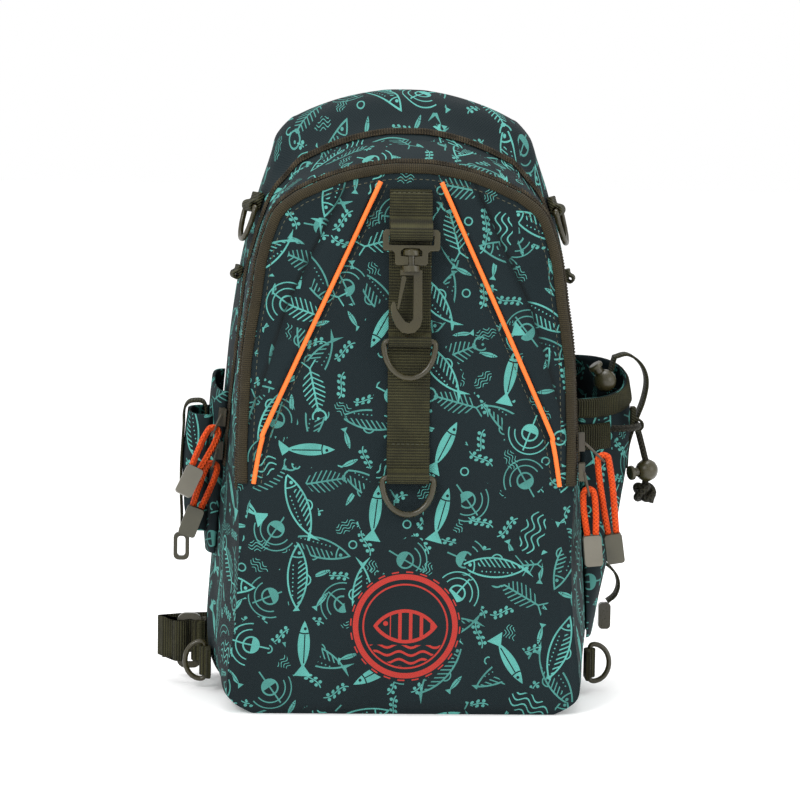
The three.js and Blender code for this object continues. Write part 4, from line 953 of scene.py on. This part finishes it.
for side, word in sides:
    places = [Vector((side * a * panel_half, 0, h * panel_height)) for a, h in piping_line]
    flat = spline(places, 40)
    crests = [min(panel_spot(p.x + dx, p.z).y for dx in (-.0015, 0, .0015)) for p in flat]
    route = [Vector((p.x, y - 0.0007, p.z)) for p, y in zip(flat, averaged(crests, 4))]
    tube(f"piping_cord_{word}", route, 0.0014, 10, 120, piping_tape, f"piping_{word}")
    inner = [panel_spot(p.x - side * 0.0042, p.z - 0.001, 0.0001) for p in flat]
    stitches(f"piping_stitches_{word}", inner, lambda spot: forward)
edge_line = [panel_at(k, 0.0086) for k in range(arch[0], arch[1] + 1)]
stitches("binding_stitches", edge_line, lambda spot: forward)
gusset_line = []
for k in range(arch[0], arch[1] + 1):
    low, high = front_zip_frame(k)
    gusset_line.append(low + (low - high).normalized() * 0.004)
stitches("gusset_stitches", gusset_line,
         lambda spot: Vector((spot.x, 0, spot.z - spine(spot.z))).normalized())


# Closed sheet between an outer and an inner grid
def slab(outer, inner):
    high, wide = len(outer), len(outer[0])
    points = [p for row in outer for p in row] + [p for row in inner for p in row]
    half = high * wide
    faces = grid_faces(high, wide) + grid_faces(high, wide, start=half, flip=True)
    border = (list(range(wide)) + [r * wide + wide - 1 for r in range(1, high)]
              + [(high - 1) * wide + c for c in range(wide - 2, -1, -1)]
              + [r * wide for r in range(high - 2, 0, -1)])
    for k, a in enumerate(border):
        b = border[(k + 1) % len(border)]
        faces.append((b, a, half + a, half + b))
    return points, faces


# Side pockets stand out from what lies below them, which is on(y, z). A pocket's face takes
# shares from front to back and from bottom to mouth; its stand is how far it comes out at a place.
pocket_gap = 0.0008


def pocket(on, side, front, back, bottom, mouths, out, power, table, wrinkle):
    heights = [h for h, _ in table]
    outs = [o for _, o in table]

    def mouth(t):
        return mouths[0] + (mouths[1] - mouths[0]) * t

    def dome(t):
        return (1 - abs(2 * t - 1) ** power) ** (1 / power)

    def stand(y, z):
        t = (y - front) / (back - front)
        if t <= 0 or t >= 1:
            return 0.0
        share = min(max((z - bottom) / (mouth(t) - bottom), 0), 1)
        return out * float(np.interp(share, heights, outs)) * dome(t)

    def face(t, share, inset=0.0):
        y = front + (back - front) * t
        z = bottom + (mouth(t) - bottom) * share
        curve = np.interp([share - .05, share, share + .05], heights, outs).mean()
        fold = wrinkle * noise.noise(Vector((y * 30, z * 26, side * 4)))
        fold *= math.sin(math.pi * t) * math.sin(math.pi * min(share, 0.97)) ** 0.5
        low = max(0.0, out * curve * dome(t) + fold - inset)
        return Vector((side * (on(y, z) + pocket_gap + low), y, z))
    return face, stand


def pocket_piece(name, face, replaces):
    wall = 0.0018
    closed = 1
    high, wide = 54, 44
    places = [(1 - math.cos(math.pi * k / (wide - 1))) / 2 for k in range(wide)]
    outer = [[face(t, r / (high - 1)) for t in places] for r in range(high)]
    inner = [[face(0.05 + 0.9 * t, r / (high - 1), wall if r else closed) for t in places]
             for r in range(high)]
    points, faces = slab(outer, inner)
    uv = []
    for line in outer + inner:
        run = pocket_print
        for k, p in enumerate(line):
            run += (p - line[k - 1]).length if k else 0
            uv.append((run, p.z))
    piece(name, points, faces, printed_cloth, uv=uv, replaces=replaces)


bottle_face, _ = pocket(
    flank, 1, front=.0045, back=.046, bottom=.034, mouths=(.18, .203), out=.032, power=2.5,
    table=[(0, .07), (.1, .14), (.3, .46), (.54, .76), (.78, .94), (.9, 1), (1, .94)],
    wrinkle=0.0022)
pocket_piece("bottle_pocket_cloth", bottle_face, "bottle_pocket")
sleeve_face, sleeve_stand = pocket(
    flank, -1, front=.0045, back=.046, bottom=.084, mouths=(.182, .192), out=.008, power=4,
    table=[(0, .4), (.1, .75), (.6, 1), (.9, 1), (1, .92)], wrinkle=0.0008)
pocket_piece("tool_sleeve_cloth", sleeve_face, "tool_sleeve")
pouch_face, _ = pocket(
    lambda y, z: flank(y, z) + pocket_gap + sleeve_stand(y, z), -1, front=.008, back=.042,
    bottom=.097, mouths=(.1675, .17), out=.0125, power=4,
    table=[(0, .6), (.14, .92), (.5, 1), (.86, 1), (1, .94)], wrinkle=0.0008)
pocket_piece("tool_pouch_cloth", pouch_face, "tool_pouch")


# Band on the bottle pocket, from its front edge back to the share named final
def pocket_band(name, low, high, final, replaces):
    thick = 0.0016
    outer, inner = [], []
    for r in range(9):
        share = low + (high - low) * r / 8
        far, near = [], []
        for k in range(60):
            t = final * (1 - math.cos(math.pi * k / 59)) / 2
            spot = bottle_face(t, share)
            beside = bottle_face(min(t + .01, 1), share) - bottle_face(max(t - .01, 0), share)
            way = Vector((beside.y, -beside.x, 0)).normalized()
            edge = 0.35 if r in (0, 8) else 1
            far.append(spot + way * (0.0002 + thick * edge))
            near.append(spot + way * 0.0001)
        outer.append(far)
        inner.append(near)
    points, faces = slab(outer, inner)
    uv = [(p.y + abs(p.x), p.z) for p in points]
    piece(name, points, faces, olive_webbing, uv=uv, replaces=replaces)


pocket_band("pocket_rim_binding", .92, 1.0, 1.0, "pocket_rim")
pocket_band("pocket_patch_cloth", .787, .895, .067, "pocket_patch")


# Soft copies of the frame's solids
def applied(made):
    graph = bpy.context.evaluated_depsgraph_get()
    mesh = bpy.data.meshes.new_from_object(made.evaluated_get(graph))
    made.modifiers.clear()
    made.data = mesh


def soft_copy(name, source, voxel, rounds):
    copy = placed(name, nodes[source].data.copy())
    modifier(copy, "REMESH", mode="VOXEL", voxel_size=voxel)
    modifier(copy, "SMOOTH", factor=0.5, iterations=rounds)
    applied(copy)
    return copy


def corners_of(mesh):
    corners = np.empty(len(mesh.vertices) * 3)
    mesh.vertices.foreach_get("co", corners)
    return corners.reshape(-1, 3)


def finished(copy, source, finish, pairs):
    mesh = copy.data
    mesh.materials.clear()
    mesh.materials.append(finish)
    set_metres(mesh, pairs)
    shade_smooth(mesh)
    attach(copy, "bag")
    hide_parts(source)


# Webbing whose ribs cross it: places along it, named by way, and places across
def ribbed(source, voxel, way):
    copy = soft_copy(f"{source}_ribbed", source, voxel, 3)
    x, y, z = corners_of(copy.data).T
    ways = {"z": (z - y * 0.4, x), "zy": (z + abs(x) * 0.6, y), "y": (y + abs(x) * 0.3, z)}
    finished(copy, source, olive_webbing, np.stack(ways[way], 1))


for source, voxel, way in (
        ("webbing_strip", 0.0007, "z"), ("top_fold", 0.0006, "z"), ("mid_fold", 0.0006, "z"),
        ("shoulder_tab_left", 0.0006, "zy"), ("shoulder_tab_right", 0.0006, "zy"),
        ("side_tab_left", 0.0006, "zy"), ("side_tab_right", 0.0006, "zy"),
        ("lower_tab_left", 0.0006, "y"), ("lower_tab_right", 0.0006, "y"),
        ("lock_tab", 0.0005, "zy"), ("strap_tab", 0.0007, "y")):
    ribbed(source, voxel, way)


# Ribbons: the frame's band, seen along its width, redrawn as a smooth curve
def ribbon(source, axis):
    shape = bmesh.new()
    shape.from_mesh(nodes[source].data)
    bmesh.ops.remove_doubles(shape, verts=shape.verts, dist=0.00001)
    bmesh.ops.dissolve_limit(shape, angle_limit=0.02, verts=shape.verts, edges=shape.edges)
    ends = [f for f in shape.faces if abs(f.normal[axis]) > 0.98]
    end = max(ends, key=lambda f: f.calc_area())
    first, second = [k for k in range(3) if k != axis]
    corners = [Vector((v.co[first], v.co[second], 0)) for v in end.verts]
    low = min(v.co[axis] for v in shape.verts)
    high = max(v.co[axis] for v in shape.verts)
    shape.free()
    if sum(a.x * b.y - b.x * a.y for a, b in zip(corners, corners[1:] + corners[:1])) < 0:
        corners.reverse()
    outline = []
    size = len(corners)
    for k in range(size):
        p0, p1, p2, p3 = (corners[(k + d) % size] for d in (-1, 0, 1, 2))
        reach = (p2 - p1).length
        steps = max(1, int(reach / 0.0007))
        sharp = [(p1 - p0).angle(p2 - p1) > 0.9, (p2 - p1).angle(p3 - p2) > 0.9]
        leave = (p2 - p1) if sharp[0] else (p2 - p0).normalized() * reach
        arrive = (p2 - p1) if sharp[1] else (p3 - p1).normalized() * reach
        outline += [hermite(j / steps, p1, leave, p2, arrive) for j in range(steps)]
    points, uv = [], []
    total = len(outline)
    for place, shrink in ((low, .0006), (low + .0004, 0), (high - .0004, 0), (high, .0006)):
        run = 0.0
        for k, p in enumerate(outline):
            along = outline[(k + 1) % total] - outline[k - 1]
            inward = Vector((-along.y, along.x, 0)).normalized()
            q = p + inward * shrink
            spot = Vector()
            spot[axis], spot[first], spot[second] = place, q.x, q.y
            points.append(spot)
            uv.append((run, place))
            run += (outline[(k + 1) % total] - p).length
    faces = grid_faces(4, total, closed=True) + caps(4 * total, total)
    piece(f"{source}_ribbed", points, faces, olive_webbing, uv=uv, replaces=source)


for source, axis in (("pouch_strap", 1), ("pocket_strap", 1), ("hook_webbing", 1),
                     ("strap_webbing", 2)):
    ribbon(source, axis)

strip_half = 0.0095
for name, low, high in (("strip_stitches_top", .2935, .3045), ("strip_stitches_low", .1505, .1595)):
    line = []
    corners = [(-strip_half, low), (strip_half, low), (strip_half, high), (-strip_half, high),
               (-strip_half, low)]
    for (x0, z0), (x1, z1) in zip(corners, corners[1:]):
        for k in range(6):
            x, z = x0 + (x1 - x0) * k / 6, z0 + (z1 - z0) * k / 6
            line.append(Vector((x, panel_y(0, z, 0.03) - 0.0023, z)))
    line.append(line[0].copy())
    stitches(name, line, lambda spot: forward, 0.0028, 0.002, 0.0003)


# Padding: a cloth simulation blows the copy up, while some of its corners are held
def blown_up(copy, pressure, held):
    frames = 20
    pinned = copy.vertex_groups.new(name="pinned")
    for k, (x, y, z) in enumerate(corners_of(copy.data)):
        if held(x, y, z):
            pinned.add([k], 1.0, "REPLACE")
    sim = modifier(copy, "CLOTH")
    set_values(sim.settings, quality=4, vertex_group_mass="pinned", use_pressure=True,
               uniform_pressure_force=pressure, tension_stiffness=12, bending_stiffness=0.4)
    sim.settings.effector_weights.gravity = 0
    set_values(sim.point_cache, frame_start=1, frame_end=frames)
    for step in range(1, frames + 1):
        scene.frame_set(step)
    graph = bpy.context.evaluated_depsgraph_get()
    shaped = corners_of(copy.evaluated_get(graph).to_mesh())
    copy.modifiers.clear()
    scene.frame_set(1)
    return shaped


# The simulation moves no corner further than cap
def padded(name, source, voxel, pressure, cap, held):
    copy = soft_copy(name, source, voxel, 4)
    rest = corners_of(copy.data)
    push = np.zeros_like(rest)
    push = blown_up(copy, pressure, held) - rest
    size = np.linalg.norm(push, axis=1, keepdims=True)
    moved = rest + push * np.minimum(1, cap / np.maximum(size, 1e-9))
    moved[:, 2] = np.maximum(moved[:, 2], 0.0004)
    copy.data.vertices.foreach_set("co", moved.ravel())
    modifier(copy, "SUBSURF", levels=1, render_levels=1)
    applied(copy)
    finished(copy, source, spacer_mesh, corners_of(copy.data)[:, [0, 2]])
    return copy


quilt_pitch = 0.05
quilt_slope = 0.6
strap_quilt_pitch = 0.06
pad_base = 0.0525
strap_base = 0.0595


def held_on_pad(x, y, z):
    wave = math.sin((z + abs(x) * quilt_slope) * math.pi / quilt_pitch)
    return y < pad_base or abs(wave) < 0.16


def held_on_strap(x, y, z):
    return y < strap_base or abs(math.sin(z * math.pi / strap_quilt_pitch)) < 0.1


back_pad = padded("back_panel_padding", "back_panel", 0.005, 14, 0.0035, held_on_pad)
strap_pad = padded("shoulder_strap_padding", "shoulder_strap", 0.004, 8, 0.003, held_on_strap)


# Stitches that hold the padding, laid on the finished cloth from behind
def behind(made):
    shape = bmesh.new()
    shape.from_mesh(made.data)
    tree = BVHTree.FromBMesh(shape)
    shape.free()
    return lambda x, z: tree.ray_cast(Vector((x, 0.2, z)), -backward)[0]


on_pad = behind(back_pad)
_, pad_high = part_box("back_panel")
for row in range(1, 8):
    line = []
    for k in range(-30, 31):
        x = k / 30 * (pad_high[0] - 0.012)
        hit = on_pad(x, row * quilt_pitch + 0.02 - abs(x) * quilt_slope)
        if hit is not None and hit.y > pad_high[1] - 0.006:
            line.append(hit)
    if len(line) > 4:
        stitches(f"pad_stitches_{row}", line, lambda spot: backward, pitch=0.0045, size=0.003,
                 radius=0.0004)
on_strap = behind(strap_pad)
strap_low, strap_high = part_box("shoulder_strap")
for side, word in sides:
    line = []
    for k in range(56):
        z = strap_low[2] + 0.012 + (strap_high[2] - strap_low[2] - 0.02) * k / 55
        across = [strap_low[0] + (strap_high[0] - strap_low[0]) * j / 80 for j in range(81)]
        hits = [on_strap(x, z) for x in across]
        hits = [h for h in hits if h is not None and h.y > strap_high[1] - 0.004]
        if hits:
            edge = hits[0] if side < 0 else hits[-1]
            hit = on_strap(edge.x - side * 0.003, z)
            if hit is not None:
                line.append(hit)
    stitches(f"strap_stitches_{word}", averaged(line, 2), lambda spot: backward, pitch=0.004,
             size=0.0028, radius=0.0004)

# Hard pieces keep the frame's shapes, with softened edges
hard = dict.fromkeys((
    "mid_ring", "low_ring", "swivel_loop", "snap_hook", "hook_gate", "shoulder_ring_left",
    "shoulder_ring_right", "lower_ring_left", "lower_ring_right", "pouch_clip", "cord_lock",
    "lock_button", "inner_lock", "inner_button", "strap_lock", "hook_tongue"), moulded)
for number, rubber in ((1, grey_rubber), (2, olive_rubber), (3, olive_rubber), (4, grey_rubber)):
    hard[f"pull_end_{number}"] = rubber
    hard[f"zip_slider_{number}"] = slider_metal
for name, finish in hard.items():
    made = nodes[name]
    made.data.materials.clear()
    made.data.materials.append(finish)
    modifier(made, "WELD", merge_threshold=0.00001)
    if "ring" in name:
        modifier(made, "SUBSURF", levels=2, render_levels=2)
    else:
        width = 0.0008 if name.startswith("pull_end") else 0.0004
        modifier(made, "BEVEL", width=width, segments=3, limit_method="ANGLE",
                 angle_limit=math.radians(32))
    shade_smooth(made.data)
    modifier(made, "WEIGHTED_NORMAL", keep_sharp=True)

# Floor and light
floor_mesh = bpy.data.meshes.new("floor")
floor_mesh.from_pydata([(-9, -9, 0), (9, -9, 0), (9, 9, 0), (-9, 9, 0)], [], [(0, 1, 2, 3)])
floor = placed("floor", floor_mesh)
floor_mesh.materials.append(paper_material("floor_paper"))

world = bpy.data.worlds.new("studio")
scene.world = world
world.use_nodes = True
background = world.node_tree.nodes["Background"]
background.inputs[0].default_value = (1, 1, 1, 1)
background.inputs[1].default_value = 1.0


def area(name, place, size, power):
    light = placed(name, set_values(bpy.data.lights.new(name, "AREA"), size=size, energy=power))
    light.location = place
    way = Vector((0, 0, 0.18)) - Vector(place)
    light.rotation_euler = way.to_track_quat("-Z", "Y").to_euler()


area("key", (-1.1, -1.6, 1.5), 0.7, 24)
area("fill", (1.6, -1.1, 0.7), 1.0, 7)
area("top", (0.1, 0.2, 1.9), 1.0, 16)
scene.view_settings.view_transform = "Standard"
